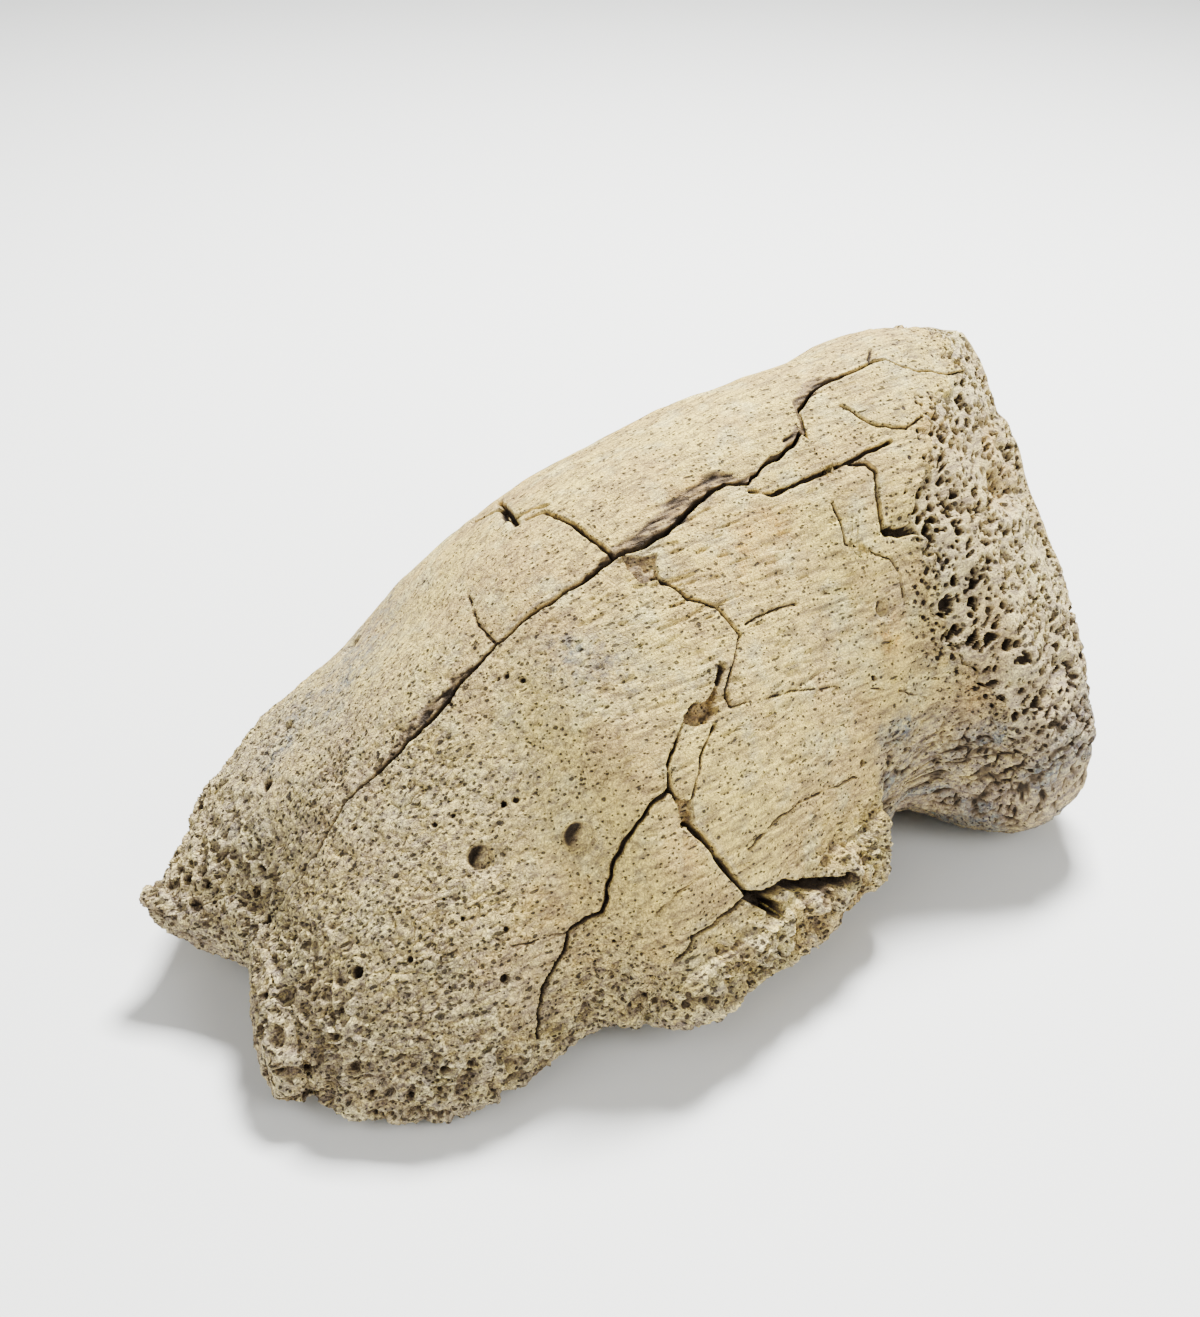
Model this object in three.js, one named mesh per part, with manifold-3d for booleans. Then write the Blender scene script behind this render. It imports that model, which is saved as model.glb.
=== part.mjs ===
// Fossil hadrosaur toe bone: the hoof core of one toe, life size, lying on its sole.
// Millimetres. +X points to the joint, -X to the tip, -Y is the flank that faces the viewer,
// +Z is up and z = 0 is the ground. The joint end, the crest and the hoof margin are told apart
// only by their place, because the real bone is one piece.
import * as THREE from 'three';
import { mergeVertices } from 'three/addons/utils/BufferGeometryUtils.js';
import Module from 'manifold-3d';

// Overall size
const JOINT_X = 56; // plane through the rim of the joint face
const TIP_X = -51.5; // plane where the tip begins to round over
const TIP_ROUNDING = 3.5; // how far the rounded tip reaches past that plane
const RIM_LIP = 3; // how far the worn rim swells past the joint plane
const JOINT_DISH = 5; // depth of the hollow joint face
const RIM_LIP_SHARE = 0.8; // the lip takes the outer part of the face, from this share of its radius
const MIDDLE = [1.2, 1.4]; // middle of the bone seen from above, which becomes the origin

// Side margins of the bone, widest line of each section: [x, y, z]
const NEAR_MARGIN = [
  [56, -28.5, 18], [50, -34, 16], [42, -35, 15], [33, -30, 13.5], [28, -27.5, 12], [23, -28.5, 10],
  [18, -29.2, 9], [10, -31, 8.5], [-3, -33.2, 7], [-15, -34.4, 7], [-25, -29, 6], [-36, -28.7, 4],
  [-44, -26, 3.5], [-49.5, -21.5, 2.5], [-51.5, -16.5, 2.5],
];
const FAR_MARGIN = [
  [56, 30, 19], [50, 34, 18], [42, 32, 17], [33, 29.5, 15], [26, 29.5, 13], [20, 32, 10.5],
  [10, 34.5, 9.5], [-3, 36.5, 9], [-15, 38, 9], [-25, 36.5, 11], [-36, 30.5, 12.5], [-44, 24, 12.5],
  [-49.5, 18, 13], [-51.5, 15, 12.5],
];
// Crest along the back of the bone: [x, y, z]
const CREST = [
  [56, 2.5, 57.5], [50, 2, 59], [42, 1.5, 59.5], [33, 1, 59], [20, 0, 57], [10, 0, 55.2],
  [-3, 0, 52.3], [-15, 0, 47], [-25, 0, 39.3], [-36, 0, 30.5], [-44, -0.5, 22.7], [-51.5, -1, 14],
];
// Height of the sole along its middle, a little under the ground where the bone rests: [x, z]
const SOLE = [
  [56, 1.5], [50, -1.5], [42, -1], [33, 2], [26, 3], [10, 3], [-15, 2.4], [-25, 1.5],
  [-36, -0.7], [-42, -1], [-47, 0.8], [-51.5, 4],
];
// Fullness of a section, where 2 is an ellipse and 1 is straight from margin to crest:
// [x, near flank, far flank, sole]
const FULLNESS = [
  [56, 1.12, 1.6, 3.2], [50, 1.15, 1.7, 3.6], [42, 1.3, 1.75, 3.2], [33, 1.45, 1.8, 2.7],
  [26, 1.5, 2, 2.5], [18, 1.4, 2.1, 2.2], [10, 1.45, 2, 2], [-3, 1.65, 1.8, 2], [-15, 1.7, 1.6, 2],
  [-25, 1.65, 1.4, 2.2], [-36, 1.75, 1.5, 3], [-44, 1.9, 1.9, 3], [-51.5, 2, 2, 2],
];
// Hollows of the sole: one lengthwise behind the two heel pads, one across the ball of the hoof
const SOLE_HOLLOW_WIDTH = 11;
const HEEL_HOLLOW = { x: 52, reach: 16, depth: 2.6 };
const BALL_HOLLOW = { x: -40, reach: 10, depth: 1.8 };

// The worn tip: a notch in its middle and a longer far corner: [y, width, push along x]
const TIP_SHAPE = [[1, 6, 4.5], [13, 6, -2.5], [-18, 5, -1]];
const TIP_SHAPE_START = -36;
// The top of the rim leans back from the joint
const RIM_LEAN = 0.055;
const RIM_LEAN_START = 20;
const RIM_LEAN_HEIGHT = 25;

// Behind the corner of the hoof margin each side wall steps in under the flank: the near step is deeper
const WALL_STEP = { x: 19.5, end: 40, side: 20, z: 10, band: 8, near: 3.2, far: 1.6 };
// The hoof margin stands proud of the flank up to this height over the widest line
const MARGIN_LEDGE = { x: -17, proud: 1.3, height: 6 };

// Edge of the dense outer bone, past which the spongy inside is bare: [y, x]
const DENSE_EDGE = [
  [-30, 37], [-28, 36], [-26.5, 34], [-23, 31.5], [-19, 32.5], [-17, 34], [-15, 31.5], [-12.5, 36],
  [-8, 43], [-3, 51], [3, 53], [12, 48], [20, 43], [25, 45], [32, 41],
];
const SPONGY_DROP = 1.15; // how far the middle of the spongy surface lies under the dense bone
const SPONGY_FLOOR = 20; // below this height the side walls keep their skin
const MARGIN_BAND = 5; // how far the rough hoof margin reaches up the flank
const MARGIN_END_X = 19; // the hoof margin runs from the tip to this place

// Relief: height of the bumps, their size and which scatter of lumps they take
const SWELLS = [{ height: 0.4, size: 15, seed: 41 }, { height: 0.22, size: 7, seed: 42 }];
const SPONGY_LUMPS = { height: 0.55, size: 6, seed: 103 };
const SPONGY_CAVITIES = { depth: 0.7, size: [5.5, 3.5, 3.5], seed: 102 };
const MARGIN_KNOBS = { height: 0.9, size: 6, seed: 62 };
const MARGIN_RIDGES = { height: 0.55, size: 3.2, seed: 61, drop: 0.3 };
const MARGIN_EDGE_WAVER = { height: 0.9, size: 3, seed: 51 };
const WALL_FOLDS = { height: 0.35, size: 4.5, seed: 82, drop: 0.15 };

// Open cracks: plan of the route [x, y], with the width and depth of the gap
const CRACKS = {
  lengthwise: {
    width: 1.5, depth: 2.2,
    route: [
      [-50.5, -1], [-44, -3.5], [-39, -3], [-31.5, -5], [-20.5, -5], [-16.5, -6.5], [-11, -7.5],
      [-3.5, -8], [3.5, -7.5], [10.5, -6], [13.5, -7], [18.5, -6], [23.5, -5.5], [25, -2.5],
      [32, -1], [40, -1],
    ],
  },
  rimBranch: { width: 1.1, depth: 1.6, route: [[13.5, -7], [22.5, -8.7], [33.5, -9.5]] },
  rimStep: { width: 1.4, depth: 1.6, route: [[27, -9], [29.5, -10.5], [28.5, -13.8], [33, -16.8]] },
  flankUpper: {
    width: 0.9, depth: 1.5,
    route: [[-5, -10.5], [-1.5, -14.8], [2, -17.3], [2.5, -18.7], [-0.5, -20.9], [-2.5, -23]],
  },
  flankTip: {
    width: 1.2, depth: 1.8,
    route: [
      [-7, -22.5], [-11.2, -24], [-12.6, -25.6], [-18.8, -25.6], [-22, -26.6], [-26.5, -26.2],
      [-28.5, -26.7], [-32, -28.6],
    ],
  },
  flankMargin: {
    width: 1.3, depth: 1.8,
    route: [[-5.3, -23.7], [-10.3, -27], [-11.4, -28.5], [-9.8, -29.8], [-6.7, -32.4]],
  },
  marginGap: { width: 2.6, depth: 3, route: [[-6.7, -32.4], [-1.6, -32.5], [4.3, -32.4], [8.5, -32]] },
};
const CRACK_STEP = 2.5; // longest straight stretch of a crack
const CRACK_LIFT = 1.2; // how far a cutter stands above the bone
const CRACK_END_WIDTH = 0.25; // share of the width that is left at the ends

// Flakes of dense bone that broke away: [x, y] of the middle, radius, sides, turn in degrees
const FLAKES = [
  { at: [-4.4, -10.2], radius: 2.9, sides: 5, turn: 20 },
  { at: [-5.6, -22.5], radius: 2.8, sides: 5, turn: 55 },
  { at: [-11.5, -27.4], radius: 1.9, sides: 4, turn: 10 },
];
const FLAKE_DEPTH = 1.3;

// Vessel openings: [x, y], radius, depth
const VESSELS = [
  [[-22.1, -22.3], 1.7, 1.6], [[-31.5, -17.7], 1.3, 1.9], [[-45.9, -16.2], 1, 1.8],
  [[-33.8, -25.5], 0.8, 1.4], [[-47.2, -1.1], 0.8, 1.2], [[-42, 9.5], 1.2, 1.6],
  [[25.6, -18.2], 1.5, 1.3], [[15.1, -27.1], 0.8, 1.2], [[-24, 21], 1.5, 1.6],
  [[-36, 16], 1.1, 1.5], [[8, 24], 1.2, 1.4], [[-8, 28.5], 1.4, 1.5],
];

// How finely the surface is divided
const ROWS = 47;
const BACK_STEPS = 48; // from the far margin over the crest to the near margin
const SOLE_STEPS = 20;
const TIP_RINGS = [0.92, 0.74, 0.48, 0.2];
const JOINT_RINGS = [0.98, 0.93, 0.86, 0.77, 0.67, 0.57, 0.47, 0.37, 0.27, 0.17];
const ARC_SAMPLES = 180;
const BONE_COLOUR = 0xcdbb97;

// A smooth curve through rising or falling points that never overshoots them:
// each point's slope is the harmonic mean of its neighbours' slopes, or flat at a turning point.
function curveThrough(points) {
  const knots = [...points].sort((a, b) => a[0] - b[0]);
  const xs = knots.map((knot) => knot[0]);
  const channels = knots[0].length - 1;
  const slopes = knots.map((knot, i) => {
    const slope = [];
    for (let c = 1; c <= channels; c += 1) {
      const before = i > 0 ? (knot[c] - knots[i - 1][c]) / (xs[i] - xs[i - 1]) : null;
      const after = i < knots.length - 1 ? (knots[i + 1][c] - knot[c]) / (xs[i + 1] - xs[i]) : null;
      if (before === null) slope.push(after);
      else if (after === null) slope.push(before);
      else slope.push(before * after > 0 ? (2 * before * after) / (before + after) : 0);
    }
    return slope;
  });
  return (x) => {
    const held = THREE.MathUtils.clamp(x, xs[0], xs[xs.length - 1]);
    let i = 0;
    while (i < xs.length - 2 && held > xs[i + 1]) i += 1;
    const span = xs[i + 1] - xs[i];
    const t = (held - xs[i]) / span;
    const startWeight = (1 + 2 * t) * (1 - t) ** 2;
    const startSlope = t * (1 - t) ** 2 * span;
    const endWeight = t * t * (3 - 2 * t);
    const endSlope = t * t * (t - 1) * span;
    return knots[i].slice(1).map((value, c) => startWeight * value + startSlope * slopes[i][c]
      + endWeight * knots[i + 1][c + 1] + endSlope * slopes[i + 1][c]);
  };
}

const nearMargin = curveThrough(NEAR_MARGIN);
const farMargin = curveThrough(FAR_MARGIN);
const crest = curveThrough(CREST);
const sole = curveThrough(SOLE);
const fullness = curveThrough(FULLNESS);
const denseEdge = curveThrough(DENSE_EDGE);

const bell = (distance, width) => Math.exp(-((distance / width) ** 2));

// One number from 0 to 1 for each lattice cell, mixed from its whole coordinates and the seed
function hashed([a, b, c], seed) {
  let mixed = Math.imul(a, 73856093) ^ Math.imul(b, 19349663) ^ Math.imul(c, 83492791)
    ^ Math.imul(seed, 2654435761);
  mixed = Math.imul(mixed ^ (mixed >>> 15), 2246822519);
  mixed = Math.imul(mixed ^ (mixed >>> 13), 3266489917);
  return ((mixed ^ (mixed >>> 16)) >>> 0) / 4294967296;
}
// Smooth lumps between -1 and 1: the hashed corners of each lattice cell, blended
function lumps(p, { size, seed }) {
  const widths = Array.isArray(size) ? size : [size, size, size];
  const place = [p.x / widths[0], p.y / widths[1], p.z / widths[2]];
  const cell = place.map(Math.floor);
  const blend = place.map((value, i) => {
    const t = value - cell[i];
    return t * t * (3 - 2 * t);
  });
  let sum = 0;
  for (let corner = 0; corner < 8; corner += 1) {
    const step = [corner & 1, (corner >> 1) & 1, corner >> 2];
    const weight = step.reduce((product, on, i) => product * (on ? blend[i] : 1 - blend[i]), 1);
    sum += weight * (2 * hashed(cell.map((value, i) => value + step[i]), seed) - 1);
  }
  return sum;
}
const relief = (p, kind) => kind.height * lumps(p, kind);

// One point of the section at x. The angle runs from the far margin over the crest to the near
// margin and back along the sole. Each quarter is a superellipse between a margin and the crest or sole.
function sectionPoint(x, angle) {
  const across = Math.cos(angle);
  const up = Math.sin(angle);
  const [yMargin, zMargin] = across < 0 ? nearMargin(x) : farMargin(x);
  const [yCrest, zCrest] = crest(x);
  const [nearFull, farFull, soleFull] = fullness(x);
  const full = up < 0 ? soleFull : (across < 0 ? nearFull : farFull);
  const y = yCrest + (yMargin - yCrest) * Math.abs(across) ** (2 / full);
  if (up >= 0) return new THREE.Vector2(y, zMargin + (zCrest - zMargin) * up ** (2 / full));
  const hollow = [HEEL_HOLLOW, BALL_HOLLOW].reduce((sum, { x: middle, reach, depth }) => sum
    + depth * bell(x - middle, reach), 0) * bell(y - yCrest, SOLE_HOLLOW_WIDTH);
  const z = zMargin - (zMargin - sole(x)[0]) * (-up) ** (2 / full);
  return new THREE.Vector2(y, z + hollow);
}

// A half of the section, from one margin to the other, as points at even distances
function evenPoints(x, startAngle, steps) {
  const dense = Array.from({ length: ARC_SAMPLES + 1 }, (_, i) => (
    sectionPoint(x, startAngle + (Math.PI * i) / ARC_SAMPLES)));
  const along = [0];
  for (let i = 1; i < dense.length; i += 1) along.push(along[i - 1] + dense[i].distanceTo(dense[i - 1]));
  const points = [];
  let at = 0;
  for (let k = 0; k < steps; k += 1) {
    const wanted = (along[ARC_SAMPLES] * k) / steps;
    while (along[at + 1] < wanted) at += 1;
    const t = (wanted - along[at]) / (along[at + 1] - along[at]);
    points.push(dense[at].clone().lerp(dense[at + 1], t));
  }
  return points;
}

function ring(x) {
  const flat = [...evenPoints(x, 0, BACK_STEPS), ...evenPoints(x, Math.PI, SOLE_STEPS)];
  return flat.map(({ x: y, y: z }) => new THREE.Vector3(x, y, z));
}

// Rings of the joint face: the edge ring shrunk towards its middle and pushed along x
function jointRings(edge) {
  const middle = edge.reduce((sum, p) => sum.add(p), new THREE.Vector3()).divideScalar(edge.length);
  return JOINT_RINGS.map((share) => edge.map((p) => new THREE.Vector3(
    p.x + jointPush(share),
    middle.y + (p.y - middle.y) * share,
    middle.z + (p.z - middle.z) * share,
  )));
}
// Rings of the rounded tip: the edge ring sinks to the slanted line between its margins
function tipRings(edge) {
  const [far, near] = [edge[0], edge[BACK_STEPS]];
  return TIP_RINGS.map((share) => edge.map((p) => {
    const line = near.z + ((far.z - near.z) * (p.y - near.y)) / (far.y - near.y);
    return new THREE.Vector3(p.x + tipPush(share), p.y * (0.8 + 0.2 * share), line + (p.z - line) * share);
  }));
}
const tipPush = (share) => -TIP_ROUNDING * Math.sqrt(1 - share ** 2);
function jointPush(share) {
  if (share < RIM_LIP_SHARE) {
    return RIM_LIP - (RIM_LIP + JOINT_DISH) * (1 + Math.cos((Math.PI * share) / RIM_LIP_SHARE)) / 2;
  }
  return RIM_LIP * Math.sqrt(1 - ((share - RIM_LIP_SHARE) / (1 - RIM_LIP_SHARE)) ** 2);
}

// The worn tip and the leaning rim move whole parts of the bone along x
function shapeEnds(p) {
  const tip = THREE.MathUtils.clamp((p.x - TIP_SHAPE_START) / (TIP_X - TIP_SHAPE_START), 0, 1) ** 2;
  const rim = THREE.MathUtils.clamp((p.x - RIM_LEAN_START) / (JOINT_X - RIM_LEAN_START), 0, 1) ** 2;
  const wear = TIP_SHAPE.reduce((sum, [y, width, push]) => sum + push * bell(p.y - y, width), 0);
  p.x += tip * wear + rim * RIM_LEAN * (p.z - RIM_LEAN_HEIGHT);
}

// How far the surface stands out at p: swells of the dense bone, the bare spongy joint end a step
// lower, the rough hoof margin and its ledge, and the fibrous side walls stepped in behind it
function standOut(p, outward, onFace) {
  const { smoothstep } = THREE.MathUtils;
  const near = p.y < crest(p.x)[0];
  const over = p.z - (near ? nearMargin(p.x) : farMargin(p.x))[1];
  const edge = denseEdge(p.y)[0];
  const spongy = Math.max(smoothstep(onFace, 0, 0.1), smoothstep(p.x, edge - 0.6, edge + 1.2)
    * smoothstep(p.z, SPONGY_FLOOR - 5, SPONGY_FLOOR + 6));
  const hoof = 1 - smoothstep(p.x, MARGIN_END_X - 0.8, MARGIN_END_X + 0.8);
  const tip = 1 - smoothstep(p.x, TIP_X - 0.5, TIP_X + 8.5);
  const under = smoothstep(-outward.z, 0.1, 0.6);
  const wall = (1 - hoof) * (1 - spongy) * (1 - smoothstep(p.z, SPONGY_FLOOR - 3, SPONGY_FLOOR + 9));
  const alongLedge = smoothstep(p.x, MARGIN_LEDGE.x - 3, MARGIN_LEDGE.x + 3);
  const edgeHeight = over + relief(p, MARGIN_EDGE_WAVER);
  const ledge = hoof * alongLedge * smoothstep(over, -5, -1)
    * (1 - smoothstep(edgeHeight, MARGIN_LEDGE.height - 0.5, MARGIN_LEDGE.height + 0.5));
  const band = bell((over - 1) * (over < 1 ? 0.6 : 1), MARGIN_BAND);
  const margin = hoof * Math.max(band * (0.55 + 0.45 * alongLedge), 0.8 * tip) * (1 - 0.4 * under);
  const ridges = MARGIN_RIDGES.height * (1 - 2 * Math.abs(lumps(p, MARGIN_RIDGES))) - MARGIN_RIDGES.drop;
  const step = smoothstep(p.x, WALL_STEP.x - 0.8, WALL_STEP.x + 1.2)
    * smoothstep(Math.abs(p.y), WALL_STEP.side - 4, WALL_STEP.side + 4)
    * (1 - smoothstep(p.x, WALL_STEP.x + 6, WALL_STEP.end)) * bell(p.z - WALL_STEP.z, WALL_STEP.band);
  const cavity = SPONGY_CAVITIES.depth * smoothstep(lumps(p, SPONGY_CAVITIES), 0.35, 0.75);
  return SWELLS.reduce((sum, kind) => sum + relief(p, kind), 0)
    + spongy * (relief(p, SPONGY_LUMPS) - cavity - SPONGY_DROP)
    + margin * (relief(p, MARGIN_KNOBS) + ridges)
    + wall * (relief(p, WALL_FOLDS) - WALL_FOLDS.drop)
    + ledge * MARGIN_LEDGE.proud - step * (near ? WALL_STEP.near : WALL_STEP.far);
}

// Triangles that close an end ring: they zip its back to its sole, from the far margin to the near one
function closingFaces(points, first, facesTip) {
  const faces = [];
  const place = (k) => first + (k % points.length);
  let top = 0;
  let bottom = points.length;
  while (top < BACK_STEPS || bottom > BACK_STEPS) {
    const topNext = top < BACK_STEPS
      && (bottom === BACK_STEPS || points[top + 1].y > points[bottom - 1].y);
    const corners = topNext ? [top, bottom, top + 1] : [top, bottom, bottom - 1];
    if (topNext) top += 1;
    else bottom -= 1;
    const [a, b, c] = corners.map(place);
    if (a !== b && b !== c && c !== a) faces.push(a, facesTip ? b : c, facesTip ? c : b);
  }
  return faces;
}

// The whole surface as rings from the joint face to the tip, closed at both ends
function boneSurface() {
  const edges = Array.from({ length: ROWS }, (_, i) => (
    ring(JOINT_X + ((TIP_X - JOINT_X) * i) / (ROWS - 1))));
  const rings = [
    ...jointRings(edges[0]).reverse(),
    ...edges,
    ...tipRings(edges[ROWS - 1]),
  ];
  rings.flat().forEach(shapeEnds);
  const around = BACK_STEPS + SOLE_STEPS;
  const lift = JOINT_RINGS.map(() => 1).concat(Array(ROWS).fill(1), TIP_RINGS);
  const onFace = JOINT_RINGS.map((share) => 1 - share).reverse()
    .concat(Array(ROWS + TIP_RINGS.length).fill(0));
  const raised = rings.map((points, i) => points.map((p, j) => {
    const before = rings[Math.max(i - 1, 0)][j];
    const after = rings[Math.min(i + 1, rings.length - 1)][j];
    const left = points[(j + around - 1) % around];
    const right = points[(j + 1) % around];
    const outward = right.clone().sub(left).cross(before.clone().sub(after)).normalize();
    return p.clone().addScaledVector(outward, standOut(p, outward, onFace[i]) * lift[i]);
  }));
  const lastRing = raised.length - 1;
  const faces = [
    ...closingFaces(raised[0], 0, false),
    ...closingFaces(raised[lastRing], lastRing * around, true),
  ];
  for (let i = 0; i < lastRing; i += 1) {
    for (let j = 0; j < around; j += 1) {
      const next = (j + 1) % around;
      const [a, b, c, d] = [i * around + j, i * around + next, (i + 1) * around + next, (i + 1) * around + j];
      faces.push(a, d, b, b, d, c);
    }
  }
  const geometry = new THREE.BufferGeometry().setFromPoints(raised.flat());
  geometry.setIndex(faces);
  return geometry;
}

// Height of the back of the bone above the plan point [x, y], and the direction it faces
function backHeight(x, y) {
  const [yCrest, zCrest] = crest(x);
  const [yMargin, zMargin] = y < yCrest ? nearMargin(x) : farMargin(x);
  const full = fullness(x)[y < yCrest ? 0 : 1];
  const across = Math.min(Math.abs((y - yCrest) / (yMargin - yCrest)), 1);
  return zMargin + (zCrest - zMargin) * (1 - across ** full) ** (1 / full);
}
function onBack(x, y) {
  const reach = 0.4;
  const slopeX = (backHeight(x + reach, y) - backHeight(x - reach, y)) / (2 * reach);
  const slopeY = (backHeight(x, y + reach) - backHeight(x, y - reach)) / (2 * reach);
  const point = new THREE.Vector3(x, y, backHeight(x, y));
  return { point, outward: new THREE.Vector3(-slopeX, -slopeY, 1).normalize() };
}

// A crack's cutter: a wedge carried along the route, broad above the bone and sharp at its depth
function crackCutter({ width, depth, route }) {
  const plan = [route[0]];
  route.slice(1).forEach((to, i) => {
    const from = route[i];
    const steps = Math.ceil(Math.hypot(to[0] - from[0], to[1] - from[1]) / CRACK_STEP);
    for (let k = 1; k <= steps; k += 1) plan.push(from.map((value, c) => value + ((to[c] - value) * k) / steps));
  });
  const stations = plan.map(([x, y]) => onBack(x, y));
  const places = [];
  stations.forEach(({ point, outward }, i) => {
    const ahead = stations[Math.min(i + 1, stations.length - 1)].point;
    const behind = stations[Math.max(i - 1, 0)].point;
    const sideways = outward.clone().cross(ahead.clone().sub(behind)).normalize();
    const taper = Math.min(1, CRACK_END_WIDTH + (2 * Math.min(i, stations.length - 1 - i)) / stations.length);
    const half = (width / 2) * taper * (1 + CRACK_LIFT / depth);
    const top = point.clone().addScaledVector(outward, CRACK_LIFT);
    places.push(
      top.clone().addScaledVector(sideways, half),
      top.clone().addScaledVector(sideways, -half),
      point.clone().addScaledVector(outward, -depth * taper),
    );
  });
  const last = places.length - 3;
  const faces = [0, 2, 1, last, last + 1, last + 2];
  for (let i = 0; i < last; i += 3) {
    for (let k = 0; k < 3; k += 1) {
      const next = (k + 1) % 3;
      faces.push(i + k, i + next, i + 3 + k, i + next, i + 3 + next, i + 3 + k);
    }
  }
  const geometry = new THREE.BufferGeometry().setFromPoints(places);
  geometry.setIndex(faces);
  return geometry;
}

// Turns a cutter made along +Z to stand on the back of the bone at [x, y]
function standOn(geometry, [x, y], sink) {
  const { point, outward } = onBack(x, y);
  const turn = new THREE.Quaternion().setFromUnitVectors(new THREE.Vector3(0, 0, 1), outward);
  geometry.applyQuaternion(turn);
  geometry.translate(...point.addScaledVector(outward, -sink).toArray());
  return geometry;
}
function flakeCutter({ at, radius, sides, turn }) {
  const outline = new THREE.Shape(Array.from({ length: sides }, (_, i) => {
    const angle = THREE.MathUtils.degToRad(turn + (360 * i) / sides);
    const reach = radius * (1 + 0.25 * lumps({ x: at[0] + i, y: at[1], z: i }, { size: 0.8, seed: 57 }));
    return new THREE.Vector2(reach * Math.cos(angle), reach * Math.sin(angle));
  }));
  return standOn(new THREE.ExtrudeGeometry(outline, { depth: 4, bevelEnabled: false }), at, FLAKE_DEPTH);
}
function vesselCutter([at, radius, depth]) {
  const bowl = new THREE.SphereGeometry(1, 9, 6);
  bowl.rotateX(Math.PI / 2);
  bowl.scale(radius, radius, depth);
  return standOn(bowl, at, 0);
}

const wasm = await Module();
wasm.setup();

function toSolid(geometry) {
  const bare = geometry.clone();
  bare.deleteAttribute('normal');
  bare.deleteAttribute('uv');
  const merged = mergeVertices(bare, 1e-4);
  return new wasm.Manifold(new wasm.Mesh({
    numProp: 3,
    vertProperties: new Float32Array(merged.attributes.position.array),
    triVerts: new Uint32Array(merged.index.array),
  }));
}
function toGeometry(solid) {
  const { vertProperties, triVerts } = solid.getMesh();
  const geometry = new THREE.BufferGeometry();
  geometry.setAttribute('position', new THREE.BufferAttribute(vertProperties, 3));
  geometry.setIndex(new THREE.BufferAttribute(triVerts, 1));
  geometry.computeVertexNormals();
  return geometry;
}

// Everything below the ground, which trims the pads under the bone to small flats at one level
function groundCutter() {
  return new THREE.BoxGeometry(200, 200, 20).translate(0, 0, -10);
}

const cutters = [
  ...Object.values(CRACKS).map(crackCutter),
  ...FLAKES.map(flakeCutter),
  ...VESSELS.map(vesselCutter),
  groundCutter(),
];
const carved = cutters.reduce((bone, cutter) => bone.subtract(toSolid(cutter)), toSolid(boneSurface()));
const [largest] = carved.decompose().sort((a, b) => b.volume() - a.volume());

const boneFinish = new THREE.MeshStandardMaterial({ color: BONE_COLOUR, roughness: 0.88, metalness: 0 });
const toeBone = new THREE.Mesh(toGeometry(largest), boneFinish);
toeBone.name = 'toe_bone';
toeBone.position.set(-MIDDLE[0], -MIDDLE[1], 0);

const group = new THREE.Group();
group.add(toeBone);

export default group;
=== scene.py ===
"""Fossil hadrosaur toe bone, finished for the eye.

It has dense cracked bone, a bare spongy joint end and a rough hoof margin. Lengths in the classes are
millimetres in the bone's drawing frame: +X to the joint, -X to the tip, -Y the near flank, +Z up,
z = 0 the ground. Meshes go out in metres, moved by MIDDLE to the frame's origin.
"""
import logging
import math
from dataclasses import dataclass, field
from enum import Enum

import bpy
import numpy as np
from mathutils import Matrix, Vector

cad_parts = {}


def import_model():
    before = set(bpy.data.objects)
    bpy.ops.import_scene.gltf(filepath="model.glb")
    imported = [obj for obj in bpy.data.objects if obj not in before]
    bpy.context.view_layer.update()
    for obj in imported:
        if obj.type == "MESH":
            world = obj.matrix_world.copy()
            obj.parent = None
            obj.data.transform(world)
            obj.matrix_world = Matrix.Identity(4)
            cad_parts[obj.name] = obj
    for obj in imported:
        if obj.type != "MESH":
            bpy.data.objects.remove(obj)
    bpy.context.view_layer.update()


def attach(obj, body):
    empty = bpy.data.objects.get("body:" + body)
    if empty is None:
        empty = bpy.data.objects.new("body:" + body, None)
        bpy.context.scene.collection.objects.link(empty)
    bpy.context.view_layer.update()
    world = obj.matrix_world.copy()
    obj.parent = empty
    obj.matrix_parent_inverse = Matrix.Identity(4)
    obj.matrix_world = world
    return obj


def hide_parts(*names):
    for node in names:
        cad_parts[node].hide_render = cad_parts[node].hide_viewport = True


log = logging.getLogger("toe_bone")

MIDDLE = np.array([1.2, 1.4, 0.0])
METRES = 0.001
NODE = "toe_bone"
BODY = "root"

Array = np.ndarray
Pixels = tuple[tuple[float, float], ...]
Size = float | tuple[float, float, float]
Piece = bpy.types.Object
Socket = bpy.types.NodeSocket
Tree = bpy.types.NodeTree

WORD = 0xFFFFFFFF
HASH_FACTORS = (73856093, 19349663, 83492791, 2654435761, 2246822519, 3266489917)
SHARP_DEG = 75.0


class Side(Enum):
    """The two flanks of the bone, with the sign of their y."""

    NEAR = -1
    FAR = 1


def smooth_step(low: float, high: float, value: Array) -> Array:
    """Rises from 0 at low to 1 at high along 3t^2 - 2t^3, and falls where high is under low.

    Args:
        low: the value that gives 0.
        high: the value that gives 1.
        value: what is measured.

    Returns:
        Numbers from 0 to 1.
    """
    t = np.clip((value - low) / (high - low), 0.0, 1.0)
    return t * t * (3.0 - 2.0 * t)


def bell(distance: Array, width: float) -> Array:
    """A bell curve: e to the minus square of distance over width."""
    return np.exp(-((distance / width) ** 2))


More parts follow.
